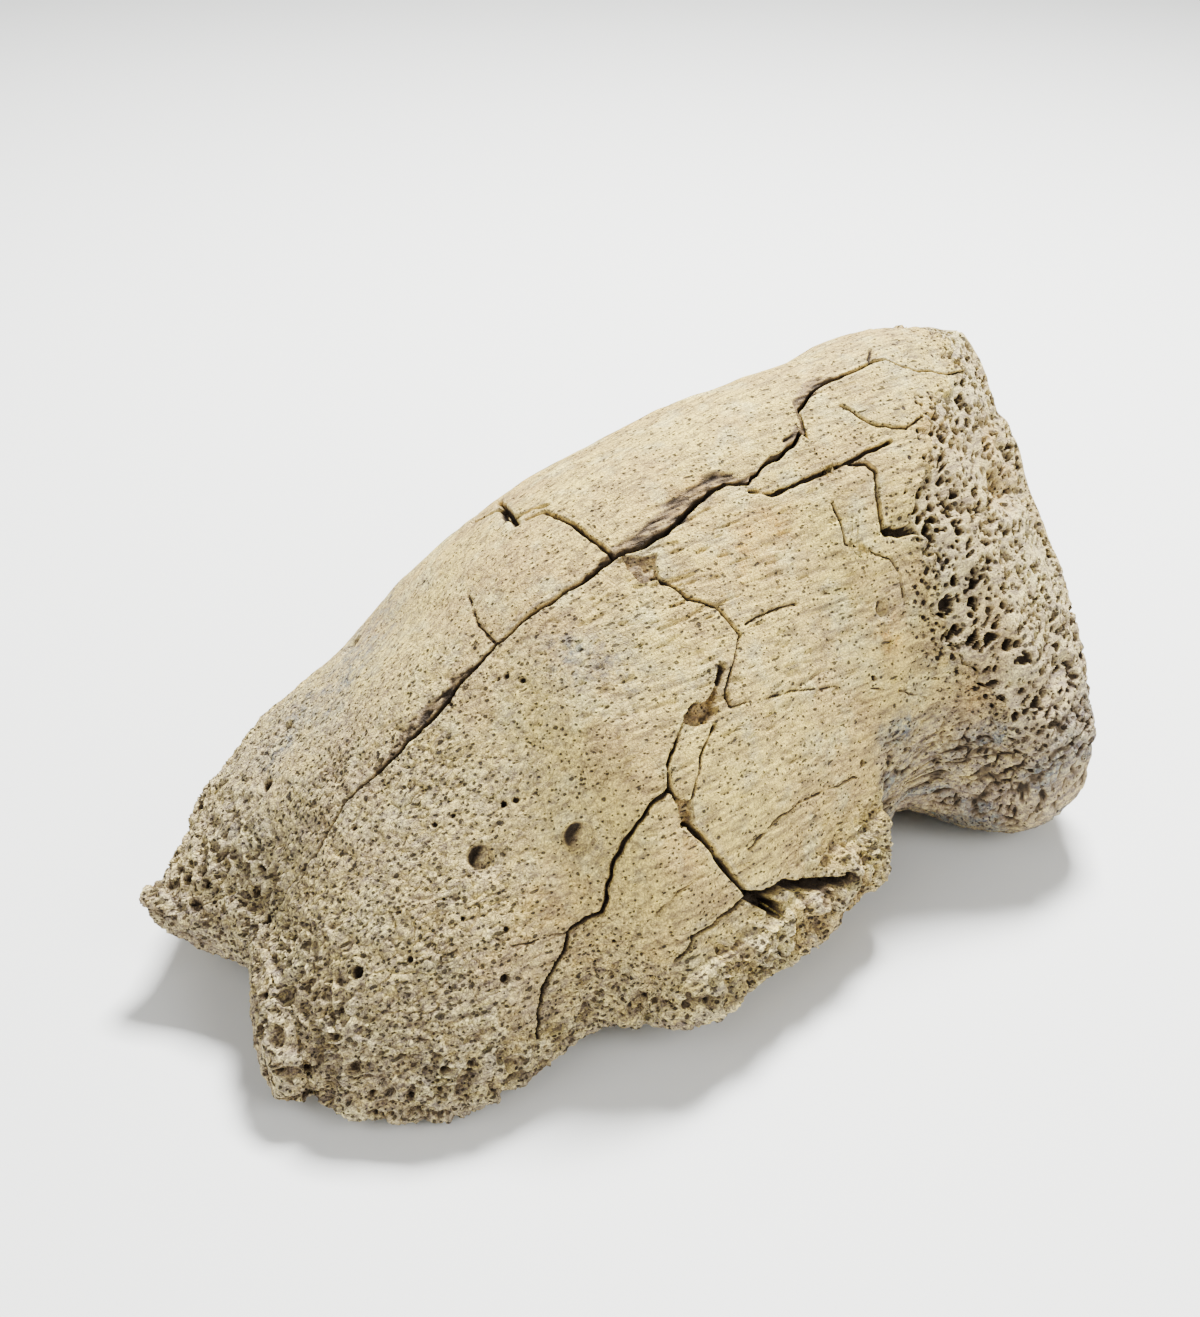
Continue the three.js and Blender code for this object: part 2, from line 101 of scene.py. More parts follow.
def curve_through(knots: tuple[tuple[float, ...], ...], at: Array) -> list[Array]:
    """Smooth curves through knots that never overshoot them.

    Each knot's slope is the harmonic mean of the slopes beside it, or flat at a turning point, and
    the stretch between two knots is the cubic that has their heights and slopes.

    Args:
        knots: rows of a place followed by one or more heights.
        at: the places where the heights are wanted.

    Returns:
        One array of heights for each column after the first.
    """
    table = np.array(sorted(knots), float)
    place, heights = table[:, 0], table[:, 1:]
    run = np.diff(place)[:, None]
    rise = np.diff(heights, axis=0) / run
    slopes = np.concatenate([rise[:1], np.zeros_like(rise[1:]), rise[-1:]])
    before, after = rise[:-1], rise[1:]
    together = before * after > 0
    total = np.where(together, before + after, 1.0)
    slopes[1:-1] = np.where(together, 2.0 * before * after / total, 0.0)
    held = np.clip(at, place[0], place[-1])
    cell = np.clip(np.searchsorted(place, held, side="right") - 1, 0, len(place) - 2)
    span = run[cell, 0]
    t = (held - place[cell]) / span
    parts = (1 + 2 * t) * (1 - t) ** 2, t * (1 - t) ** 2 * span, t * t * (3 - 2 * t), t * t * (t - 1) * span
    return [
        parts[0] * heights[cell, c] + parts[1] * slopes[cell, c]
        + parts[2] * heights[cell + 1, c] + parts[3] * slopes[cell + 1, c]
        for c in range(heights.shape[1])
    ]


def hashed(cell: Array, seed: int) -> Array:
    """One number from 0 to 1 for each lattice cell, mixed from its three whole coordinates and the seed."""
    mask = np.uint64(WORD)
    for_x, for_y, for_z, for_seed, first, second = HASH_FACTORS
    whole = cell.astype(np.int64).astype(np.uint64) & mask
    mixed = (whole[..., 0] * np.uint64(for_x)) ^ (whole[..., 1] * np.uint64(for_y))
    mixed = (mixed ^ (whole[..., 2] * np.uint64(for_z)) ^ np.uint64(seed * for_seed & WORD)) & mask
    mixed = ((mixed ^ (mixed >> np.uint64(15))) * np.uint64(first)) & mask
    mixed = ((mixed ^ (mixed >> np.uint64(13))) * np.uint64(second)) & mask
    return (mixed ^ (mixed >> np.uint64(16))).astype(np.float64) / (WORD + 1.0)


def noise(points: Array, size: Size, seed: int) -> Array:
    """Smooth lumps between -1 and 1: the hashed corners of each lattice cell, blended by 3t^2 - 2t^3.

    Args:
        points: places in millimetres.
        size: the width of a lump, one number or one for each axis.
        seed: which of the many such fields is wanted.

    Returns:
        One height for each point.
    """
    scaled = points / np.array(size, float)
    cell = np.floor(scaled)
    part = scaled - cell
    blend = part * part * (3.0 - 2.0 * part)
    total = np.zeros(points.shape[:-1])
    for corner in range(8):
        step = np.array([corner & 1, corner >> 1 & 1, corner >> 2])
        weight = np.prod(np.where(step == 1, blend, 1.0 - blend), axis=-1)
        total += weight * (2.0 * hashed(cell + step, seed) - 1.0)
    return total


def drift(points: Array, size: Size, seed: int) -> Array:
    """A push for each point: one noise for each axis, with seeds that follow each other."""
    return np.stack([noise(points, size, seed + axis) for axis in range(3)], -1)


def winding(points: Array, size: Size, seed: int, width: float, sharp: float = 0.0) -> Array:
    """Winding lines, 1 along them and 0 beside them: the places where a noise passes through 0."""
    return smooth_step(width, sharp, np.abs(noise(points, size, seed)))


def fold(points: Array, size: Size, seed: int) -> Array:
    """Sharp ridges, 1 along them and -1 between them: one minus twice the noise without its sign."""
    return 1 - 2 * np.abs(noise(points, size, seed))


def cells(points: Array, size: Size, seed: int) -> tuple[Array, Array, Array]:
    """Distances to scattered seeds, one seed in each lattice cell.

    Args:
        points: places in millimetres, one row each.
        size: the width of a cell, one number or one for each axis.
        seed: which scatter is wanted.

    Returns:
        The distance to the nearest seed and to the second nearest, in cell widths, and one
        random number from 0 to 1 that belongs to the nearest seed.
    """
    scaled = points / np.array(size, float)
    home = np.floor(scaled)
    nearest = np.full(len(points), 9.0)
    second = np.full(len(points), 9.0)
    owner = np.zeros(len(points))
    for k in range(27):
        cell = home + np.array([k % 3 - 1, k // 3 % 3 - 1, k // 9 - 1])
        place = cell + np.stack([hashed(cell, seed + axis) for axis in (0, 1, 2)], axis=-1)
        away = np.linalg.norm(scaled - place, axis=-1)
        closer = away < nearest
        second = np.where(closer, nearest, np.minimum(second, away))
        owner = np.where(closer, hashed(cell, seed + 3), owner)
        nearest = np.minimum(nearest, away)
    return nearest, second, owner


@dataclass(frozen=True)
class PhotoView:
    """The camera that took the photograph, placed in the bone's drawing frame."""

    frame_px: tuple[float, float] = (1200.0, 1317.0)
    focal_px: float = 1700.0
    place: tuple[float, float, float] = (-106.7, -134.5, 137.7)
    aim: tuple[float, float, float] = (27.4, 38.3, 0.0)
    roll_deg: float = 1.0
    sensor_mm: float = 36.0

    def axes(self) -> tuple[Array, Array, Array]:
        """The view's right, up and forward directions, turned about forward by the roll."""
        forward = np.array(self.aim) - np.array(self.place)
        forward /= np.linalg.norm(forward)
        level = np.cross(forward, (0.0, 0.0, 1.0))
        level /= np.linalg.norm(level)
        upright = np.cross(level, forward)
        roll = math.radians(self.roll_deg)
        right = math.cos(roll) * level + math.sin(roll) * upright
        return right, np.cross(right, forward), forward

    def rays(self, pixels: Pixels) -> Array:
        """Unit directions from the camera through the photograph's pixels."""
        right, up, forward = self.axes()
        at = (np.array(pixels, float) - np.array(self.frame_px) / 2) / self.focal_px
        rays = at[:, :1] * right - at[:, 1:] * up + forward
        return rays / np.linalg.norm(rays, axis=1, keepdims=True)

    def pixels(self, points: Array) -> Array:
        """Where points of the drawing frame fall in the photograph."""
        right, up, forward = self.axes()
        away = points - np.array(self.place)
        depth = away @ forward
        spread = np.stack([away @ right, -(away @ up)], axis=-1) / depth[..., None]
        return np.array(self.frame_px) / 2 + self.focal_px * spread

    def make_camera(self) -> Piece:
        """Creates the scene's camera. The lens holds the focal length over the frame's long side."""
        data = bpy.data.cameras.new("camera")
        data.sensor_width = self.sensor_mm
        data.lens = self.focal_px * self.sensor_mm / max(self.frame_px)
        data.clip_start, data.clip_end = 0.01, 20.0
        camera = bpy.data.objects.new("camera", data)
        right, up, forward = self.axes()
        turn = Matrix((right, up, -forward)).transposed().to_4x4()
        camera.matrix_world = Matrix.Translation(Vector((np.array(self.place) - MIDDLE) * METRES)) @ turn
        bpy.context.scene.collection.objects.link(camera)
        bpy.context.scene.camera = camera
        return camera


@dataclass
class BoneForm:
    """The smooth body of the bone, as rings across its length.

    A ring is four superellipse quarters between the margins, the crest and the sole. The surface
    has two parameters: along, in millimetres from the plane where the tip rounds over, and around,
    from 0 at the far margin over the crest to 0.5 at the near margin and along the sole to 1.
    """

    joint_x: float = 56.0
    tip_x: float = -51.5
    tip_rounding: float = 3.5
    tip_length: float = 8.0
    lip: float = 3.0
    lip_share: float = 0.8
    lip_length: float = 8.0
    dish: float = 5.0
    dish_length: float = 24.0
    corner_rounding: float = 2.6
    step: float = 0.5
    back_count: int = 520
    sole_count: int = 260
    samples: int = 721
    tip_narrowing: float = 0.2
    near_margin: tuple = (
        (56, -28.5, 18), (50, -34, 16), (42, -35, 15), (33, -30, 13.5), (28, -27.5, 12), (23, -28.5, 10),
        (18, -29.2, 9), (10, -31, 8.5), (-3, -33.2, 7), (-15, -34.4, 7), (-25, -29, 6), (-36, -28.7, 4),
        (-44, -26, 3.5), (-49.5, -21.5, 2.5), (-51.5, -16.5, 2.5),
    )
    far_margin: tuple = (
        (56, 30, 19), (50, 34, 18), (42, 32, 17), (33, 29.5, 15), (26, 29.5, 13), (20, 32, 10.5),
        (10, 34.5, 9.5), (-3, 36.5, 9), (-15, 38, 9), (-25, 36.5, 11), (-36, 30.5, 12.5), (-44, 24, 12.5),
        (-49.5, 18, 13), (-51.5, 15, 12.5),
    )
    crest: tuple = (
        (56, 2.5, 57.5), (50, 2, 59), (42, 1.5, 59.5), (33, 1, 59), (20, 0, 57), (10, 0, 55.2),
        (-3, 0, 52.3), (-15, 0, 47), (-25, 0, 39.3), (-36, 0, 30.5), (-44, -0.5, 22.7), (-51.5, -1, 14),
    )
    sole: tuple = (
        (56, 1.5), (50, -1.5), (42, -1), (33, 2), (26, 3), (10, 3), (-15, 2.4), (-25, 1.5),
        (-36, -0.7), (-42, -1), (-47, 0.8), (-51.5, 4),
    )
    fullness: tuple = (
        (56, 1.12, 1.6, 3.2), (50, 1.15, 1.7, 3.6), (42, 1.3, 1.75, 3.2), (33, 1.45, 1.8, 2.7),
        (26, 1.5, 2, 2.5), (18, 1.4, 2.1, 2.2), (10, 1.45, 2, 2), (-3, 1.65, 1.8, 2), (-15, 1.7, 1.6, 2),
        (-25, 1.65, 1.4, 2.2), (-36, 1.75, 1.5, 3), (-44, 1.9, 1.9, 3), (-51.5, 2, 2, 2),
    )
    hollow_width: float = 11.0
    hollows: tuple = ((52, 16, 2.6), (-40, 10, 1.8))
    tip_wear: tuple = ((1, 6, 4.5), (13, 6, -2.5), (-18, 5, -1))
    tip_wear_start: float = -36.0
    rim_lean: float = 0.055
    rim_lean_start: float = 20.0
    rim_lean_height: float = 25.0
    ray_steps: tuple[float, float, float] = (90.0, 330.0, 0.1)
    places: Array = field(init=False)
    outward: Array = field(init=False)

    def __post_init__(self) -> None:
        """Works out the table of places and outward directions that at() reads."""
        self.body = self.joint_x - self.tip_x
        self.start = -self.tip_length
        self.end = self.body + self.lip_length + self.dish_length
        along = np.arange(self.start, self.end + self.step / 2, self.step)
        x = np.clip(along + self.tip_x, self.tip_x, self.joint_x)
        rings = np.stack([self._ring(value) for value in x])
        rings = self._close_tip(rings, along)
        rings = self._close_joint(rings, along)
        rings[..., 0] += self._end_push(rings)
        self.places = rings
        self.outward = self._directions(rings)

    def section(self, x: Array, angle: Array) -> Array:
        """Points of the ring at x: each quarter is margin plus (crest or sole minus margin) times
        the sine to the power 2 over its fullness, with the cosine likewise across."""
        across, up = np.cos(angle), np.sin(angle)
        near, back = across < 0, up >= 0
        yn, zn = curve_through(self.near_margin, x)
        yf, zf = curve_through(self.far_margin, x)
        yc, zc = curve_through(self.crest, x)
        bottom = curve_through(self.sole, x)[0]
        full_near, full_far, full_sole = curve_through(self.fullness, x)
        full = np.where(back, np.where(near, full_near, full_far), full_sole)
        margin_y, margin_z = np.where(near, yn, yf), np.where(near, zn, zf)
        y = yc + (margin_y - yc) * np.abs(across) ** (2 / full)
        reach = np.abs(up) ** (2 / full)
        hollow = sum(depth * bell(x - middle, wide) for middle, wide, depth in self.hollows)
        low = margin_z - (margin_z - bottom) * reach + hollow * bell(y - yc, self.hollow_width)
        high = margin_z + (zc - margin_z) * reach
        return np.stack([np.broadcast_to(x, y.shape), y, np.where(back, high, low)], -1)

    def _ring(self, x: float) -> Array:
        """One ring at x as points at even distances along its back and along its sole, corners rounded."""
        halves = []
        for start, count in ((0.0, self.back_count), (math.pi, self.sole_count)):
            fine = self.section(np.full(self.samples, x), start + np.linspace(0.0, math.pi, self.samples))
            run = np.concatenate([[0.0], np.cumsum(np.linalg.norm(np.diff(fine, axis=0), axis=1))])
            wanted = np.arange(count) / count * run[-1]
            halves.append(np.stack([np.interp(wanted, run, fine[:, axis]) for axis in range(3)], -1))
            spacing = run[-1] / count
        ring = np.concatenate(halves)
        reach = int(round(self.corner_rounding / spacing / 2))
        return sum(np.roll(ring, shift, axis=0) for shift in range(-reach, reach + 1)) / (2 * reach + 1)

    def _close_tip(self, rings: Array, along: Array) -> Array:
        """Rounds the tip over: the height over the line between the margins shrinks as the cosine
        of a quarter turn while the ring moves out as its sine, and it narrows a little."""
        turn = np.clip(-along / self.tip_length, 0.0, 1.0)[:, None] * math.pi / 2
        (yn, yf), (zn, zf) = rings[:, [self.back_count, 0], 1].T, rings[:, [self.back_count, 0], 2].T
        y, z = rings[..., 1], rings[..., 2]
        line = zn[:, None] + (zf - zn)[:, None] * (y - yn[:, None]) / (yf - yn)[:, None]
        share = np.cos(turn)
        rings[..., 0] -= self.tip_rounding * np.sin(turn)
        rings[..., 2] = line + (z - line) * share
        rings[..., 1] = y * (1 - self.tip_narrowing + self.tip_narrowing * share)
        return rings

    def _close_joint(self, rings: Array, along: Array) -> Array:
        """Closes the joint end: the rim swells out over a quarter turn, and inside it the face sinks
        along half a cosine while the ring shrinks evenly to its middle."""
        lip = np.clip((along - self.body) / self.lip_length, 0.0, 1.0)[:, None]
        face = np.clip((along - self.body - self.lip_length) / self.dish_length, 0.0, 1.0)[:, None]
        share = self.lip_share + (1 - self.lip_share) * np.cos(lip * math.pi / 2)
        share = np.where(face > 0, self.lip_share * (1 - face), share)
        sunk = (self.lip + self.dish) * (1 - np.cos(face * math.pi)) / 2
        middle = rings[-1].mean(0)[1:]
        shrunk = middle + (rings[..., 1:] - middle) * share[..., None]
        rings[..., 1:] = np.where(lip[..., None] > 0, shrunk, rings[..., 1:])
        rings[..., 0] += self.lip * np.sin(lip * math.pi / 2) - sunk
        return rings

    def _end_push(self, rings: Array) -> Array:
        """How far each point moves along x for the worn tip and the leaning rim."""
        x, y, z = np.moveaxis(rings, -1, 0)
        tip = np.clip((x - self.tip_wear_start) / (self.tip_x - self.tip_wear_start), 0.0, 1.0) ** 2
        rim = np.clip((x - self.rim_lean_start) / (self.joint_x - self.rim_lean_start), 0.0, 1.0) ** 2
        wear = sum(push * bell(y - middle, width) for middle, width, push in self.tip_wear)
        return tip * wear + rim * self.rim_lean * (z - self.rim_lean_height)

    def _directions(self, rings: Array) -> Array:
        """Outward directions: the cross product of the steps around and along, fixed at both ends."""
        around = np.roll(rings, -1, axis=1) - np.roll(rings, 1, axis=1)
        onward = np.gradient(rings, axis=0)
        facing = np.cross(around, onward)
        facing /= np.maximum(np.linalg.norm(facing, axis=-1, keepdims=True), 1e-9)
        facing[0] = (-1.0, 0.0, 0.0)
        facing[-4:] = (1.0, 0.0, 0.0)
        return facing

    def at(self, along: Array, around: Array) -> tuple[Array, Array]:
        """Reads the surface between the table's places.

        Args:
            along: millimetres from the tip's plane.
            around: the share of the way around.

        Returns:
            Places and unit outward directions.
        """
        along, around = np.broadcast_arrays(along, around)
        total = self.back_count + self.sole_count
        row = np.clip((along - self.start) / self.step, 0.0, len(self.places) - 1.001)
        column = np.where(around < 0.5, around * 2 * self.back_count,
                          self.back_count + (around - 0.5) * 2 * self.sole_count)
        i, j = np.floor(row).astype(int), np.floor(column).astype(int)
        s, t = (row - i)[..., None], (column - j)[..., None]
        found = []
        for table in (self.places, self.outward):
            left, right = j % total, (j + 1) % total
            upper = table[i, left] * (1 - t) + table[i, right] * t
            lower = table[i + 1, left] * (1 - t) + table[i + 1, right] * t
            found.append(upper * (1 - s) + lower * s)
        found[1] /= np.maximum(np.linalg.norm(found[1], axis=-1, keepdims=True), 1e-9)
        return found[0], found[1]

    def around_of(self, x: float, y: float) -> float:
        """The share of the way around of the back's point at plan place x, y."""
        row = int(round((x - self.tip_x - self.start) / self.step))
        across = self.places[row, : self.back_count + 1, 1]
        return float(np.interp(-y, -across, np.arange(self.back_count + 1)) / self.back_count / 2)

    def back_height(self, x: Array, y: Array) -> Array:
        """Height of the back over the plan place x, y: the superellipse solved for z."""
        yn, zn = curve_through(self.near_margin, x)
        yf, zf = curve_through(self.far_margin, x)
        yc, zc = curve_through(self.crest, x)
        full_near, full_far, _ = curve_through(self.fullness, x)
        near = y < yc
        across = np.abs((y - yc) / np.where(near, yn - yc, yf - yc))
        full = np.where(near, full_near, full_far)
        low = np.where(near, zn, zf)
        height = low + (zc - low) * np.clip(1 - across**full, 0.0, 1.0) ** (1 / full)
        return np.where(across > 1, -1e3, height)

    def cast(self, view: PhotoView, pixels: Pixels) -> Array:
        """Places where the photograph's pixels meet the back of the bone, found by steps along each ray."""
        steps = np.arange(*self.ray_steps)[:, None, None]
        path = np.array(view.place) + steps * view.rays(pixels)[None]
        inside = path[..., 2] < self.back_height(path[..., 0], path[..., 1])
        inside &= (path[..., 0] > self.tip_x) & (path[..., 0] < self.joint_x)
        return path[inside.argmax(0), np.arange(len(pixels))]

    def under_pixel(self, view: PhotoView, pixel: tuple[float, float]) -> Array:
        """The place of the table, among those that face the camera, that falls nearest to a pixel."""
        facing = ((np.array(view.place) - self.places) * self.outward).sum(-1) > 0
        seen = self.places[facing]
        return seen[np.linalg.norm(view.pixels(seen) - np.array(pixel), axis=-1).argmin()]


@dataclass(frozen=True)
class Crack:
    """An open crack: its route in the photograph's pixels, with gap and depth in millimetres.

    The route of a hidden crack is drawn in plan millimetres instead.
    """

    route: Pixels
    gap: float
    depth: float
    hidden: bool = False


@dataclass(frozen=True)
class Flake:
    """A flake of dense bone that broke away: its outline in the photograph's pixels, and its depth."""

    outline: Pixels
    depth: float


@dataclass(frozen=True)
class Vessel:
    """A vessel opening: its place in the photograph, radius and depth in millimetres.

    A canal dives under its edge on the tip's side and rises as a ramp on the other. The place of
    a hidden opening is drawn in plan millimetres instead.
    """

    place: tuple[float, float]
    radius: float
    depth: float
    canal: bool = False
    hidden: bool = False


@dataclass(frozen=True)
class Stain:
    """A mineral stain: its place in the photograph, radius in millimetres and strength."""

    pixel: tuple[float, float]
    radius: float
    strength: float


def stains(*rows: tuple[float, float, float, float]) -> tuple[Stain, ...]:
    """Stains from rows of x and y in the photograph, radius and strength."""
    return tuple(Stain((x, y), radius, strength) for x, y, radius, strength in rows)


@dataclass(frozen=True)
class Damage:
    """Every crack, flake, opening and stain that the photograph shows."""

    lengthwise: Pixels = (
        (245, 920), (275, 885), (310, 855), (345, 800), (372, 778), (410, 740), (443, 708), (470, 675),
        (495, 643), (513, 632), (531, 614), (551, 603), (582, 583), (613, 559), (638, 548), (659, 535),
        (684, 515), (707, 497), (725, 484), (750, 484), (763, 471), (778, 458), (796, 446), (808, 438),
        (801, 430), (799, 407), (812, 392), (837, 376), (870, 359), (882, 358), (900, 367), (914, 372),
        (944, 375), (958, 372),
    )
    near_break: Pixels = (
        (618, 557), (640, 570), (655, 578), (671, 585), (692, 599), (717, 609), (726, 617), (740, 635),
        (736, 652), (731, 670), (722, 690), (715, 708), (712, 726), (706, 742), (700, 758), (699, 774),
        (693, 798), (689, 812), (692, 826), (713, 849), (726, 868), (737, 882), (748, 897), (764, 905),
        (782, 918), (792, 934),
    )
    far_break: Pixels = (
        (-7, 4), (-10, 8), (-8, 12), (-9.5, 16), (-6, 20), (-6.5, 24), (-3, 28), (-4, 32), (-2, 35),
    )
    cracks: tuple[Crack, ...] = (
        Crack(((750, 492), (773, 495), (801, 481), (819, 475), (850, 460), (873, 450), (891, 442)), 0.5, 1.2),
        Crack(((848, 464), (866, 465), (874, 473), (875, 500), (881, 530), (891, 535)), 0.45, 1.1),
        Crack(((886, 533), (896, 533), (912, 528), (926, 530), (934, 545), (930, 552)), 1.2, 1.7),
        Crack(((841, 404), (857, 415), (877, 427), (907, 429), (921, 418)), 0.3, 0.7),
        Crack(((870, 359), (872, 347)), 0.35, 0.6),
        Crack(((831, 503), (837, 519), (845, 544), (866, 551), (889, 559), (900, 576), (903, 597)),
              0.2, 0.35),
        Crack(((500, 502), (509, 514), (517, 526)), 0.55, 1.2),
        Crack(((528, 520), (546, 512), (564, 521), (590, 538), (613, 557)), 0.4, 0.9),
        Crack(((468, 592), (474, 612), (478, 628), (495, 643)), 0.22, 0.4),
        Crack(((655, 578), (671, 585), (692, 599), (717, 609), (726, 617), (740, 635), (736, 652), (731, 670),
               (726, 690), (729, 704)), 0.36, 0.9),
        Crack(((745, 624), (766, 612), (796, 604)), 0.22, 0.35),
        Crack(((722, 667), (719, 684)), 0.9, 1.2),
        Crack(((682, 727), (678, 739), (670, 755), (668, 771), (670, 789), (651, 806), (641, 822), (622, 844),
               (611, 870), (606, 900), (602, 912), (587, 920), (568, 933), (566, 948), (555, 964), (544, 988),
               (538, 1010), (538, 1038)), 0.42, 1.1),
        Crack(((670, 789), (678, 800)), 0.4, 1.0),
        Crack(((714, 726), (708, 742), (701, 758), (700, 774), (694, 798)), 0.3, 0.8),
        Crack(((692, 826), (713, 849), (726, 868), (737, 882), (748, 897)), 0.75, 1.8),
        Crack(((748, 897), (767, 893), (783, 885), (801, 885), (820, 881), (842, 873)), 1.3, 2.6),
        Crack(((756, 899), (766, 904), (777, 909)), 1.6, 2.6),
        Crack(((748, 897), (734, 908), (716, 921), (694, 937), (689, 947), (676, 961)), 0.45, 1.0),
        Crack(((729, 707), (764, 698), (801, 690), (836, 687), (879, 688), (907, 692), (928, 698)),
              0.18, 0.3),
        Crack(((748, 849), (775, 822), (801, 801), (855, 777)), 0.18, 0.3),
        Crack(((658, 913), (678, 892), (694, 884)), 0.22, 0.4),
        Crack(((538, 940), (512, 946), (496, 938)), 0.16, 0.25),
        Crack(((566, 933), (538, 940)), 0.18, 0.3),
        Crack(((-7, 4), (-10, 8), (-8, 12), (-9.5, 16), (-6, 20), (-6.5, 24), (-3, 28), (-4, 32)),
              0.5, 1.1, True),
        Crack(((-8, 12), (0, 11), (7, 13.5), (16, 13), (24, 15)), 0.3, 0.6, True),
        Crack(((-6.5, 24), (-13, 22.5), (-20, 24), (-26, 22)), 0.3, 0.6, True),
    )
    flakes: tuple[Flake, ...] = (
        Flake(((622, 556), (640, 556), (657, 552), (656, 564), (659, 578), (642, 584), (629, 572)), 0.8),
        Flake(((720, 687), (717, 704), (716, 720), (694, 728), (682, 723), (684, 716), (694, 704), (708, 702),
               (713, 688)), 1.7),
        Flake(((678, 800), (694, 801), (694, 811), (697, 819), (694, 829), (684, 828), (681, 814)), 1.4),
    )
    vessels: tuple[Vessel, ...] = (
        Vessel((579, 838), 1.9, 1.7, True), Vessel((481, 857), 1.55, 1.8, True),
        Vessel((357, 972), 0.8, 1.6), Vessel((505, 979), 0.55, 1.2), Vessel((276, 957), 0.5, 1.0),
        Vessel((273, 877), 0.5, 1.0), Vessel((256, 887), 0.55, 1.0), Vessel((203, 902), 0.7, 1.2),
        Vessel((883, 608), 1.1, 1.4, True), Vessel((873, 678), 0.4, 0.8), Vessel((862, 763), 0.5, 1.0),
        Vessel((516, 800), 0.4, 0.8), Vessel((504, 803), 0.35, 0.8), Vessel((452, 815), 0.3, 0.7),
        Vessel((434, 824), 0.35, 0.7), Vessel((522, 680), 0.4, 0.8), Vessel((506, 676), 0.35, 0.7),
        Vessel((-24, 21), 1.4, 1.5, True, True), Vessel((-36, 16), 1.0, 1.4, True, True),
        Vessel((8, 24), 1.1, 1.3, True, True), Vessel((-8, 28.5), 1.2, 1.4, True, True),
        Vessel((-42, 9.5), 0.9, 1.3, False, True), Vessel((-45, 16), 0.7, 1.2, False, True),
    )
    blue: tuple[Stain, ...] = stains(
        (330, 680, 9, 0.9), (285, 745, 8, 0.9), (250, 830, 6, 0.6), (640, 690, 4, 0.35),
        (565, 655, 4, 0.9), (905, 735, 3, 1.2), (960, 735, 7, 0.9), (900, 360, 8, 0.4),
        (420, 830, 7, 0.35), (530, 800, 5, 0.5), (948, 660, 3, 1.2), (830, 640, 5, 0.4),
        (605, 660, 4, 0.35), (900, 610, 4, 0.5), (960, 580, 4, 0.5), (370, 640, 6, 0.5),
    )
    rust: tuple[Stain, ...] = stains(
        (690, 490, 3.5, 1.0), (770, 525, 4, 0.9), (735, 560, 4, 0.6), (890, 635, 3, 1.3),
        (1000, 450, 4, 1.3), (1008, 500, 3, 0.9), (500, 900, 8, 0.35), (690, 842, 3, 0.8),
        (945, 430, 4, 0.9), (975, 700, 4, 0.6), (985, 620, 5, 0.5), (620, 970, 8, 0.3),
    )
    rim_notch: tuple[float, float] = (1008, 487)


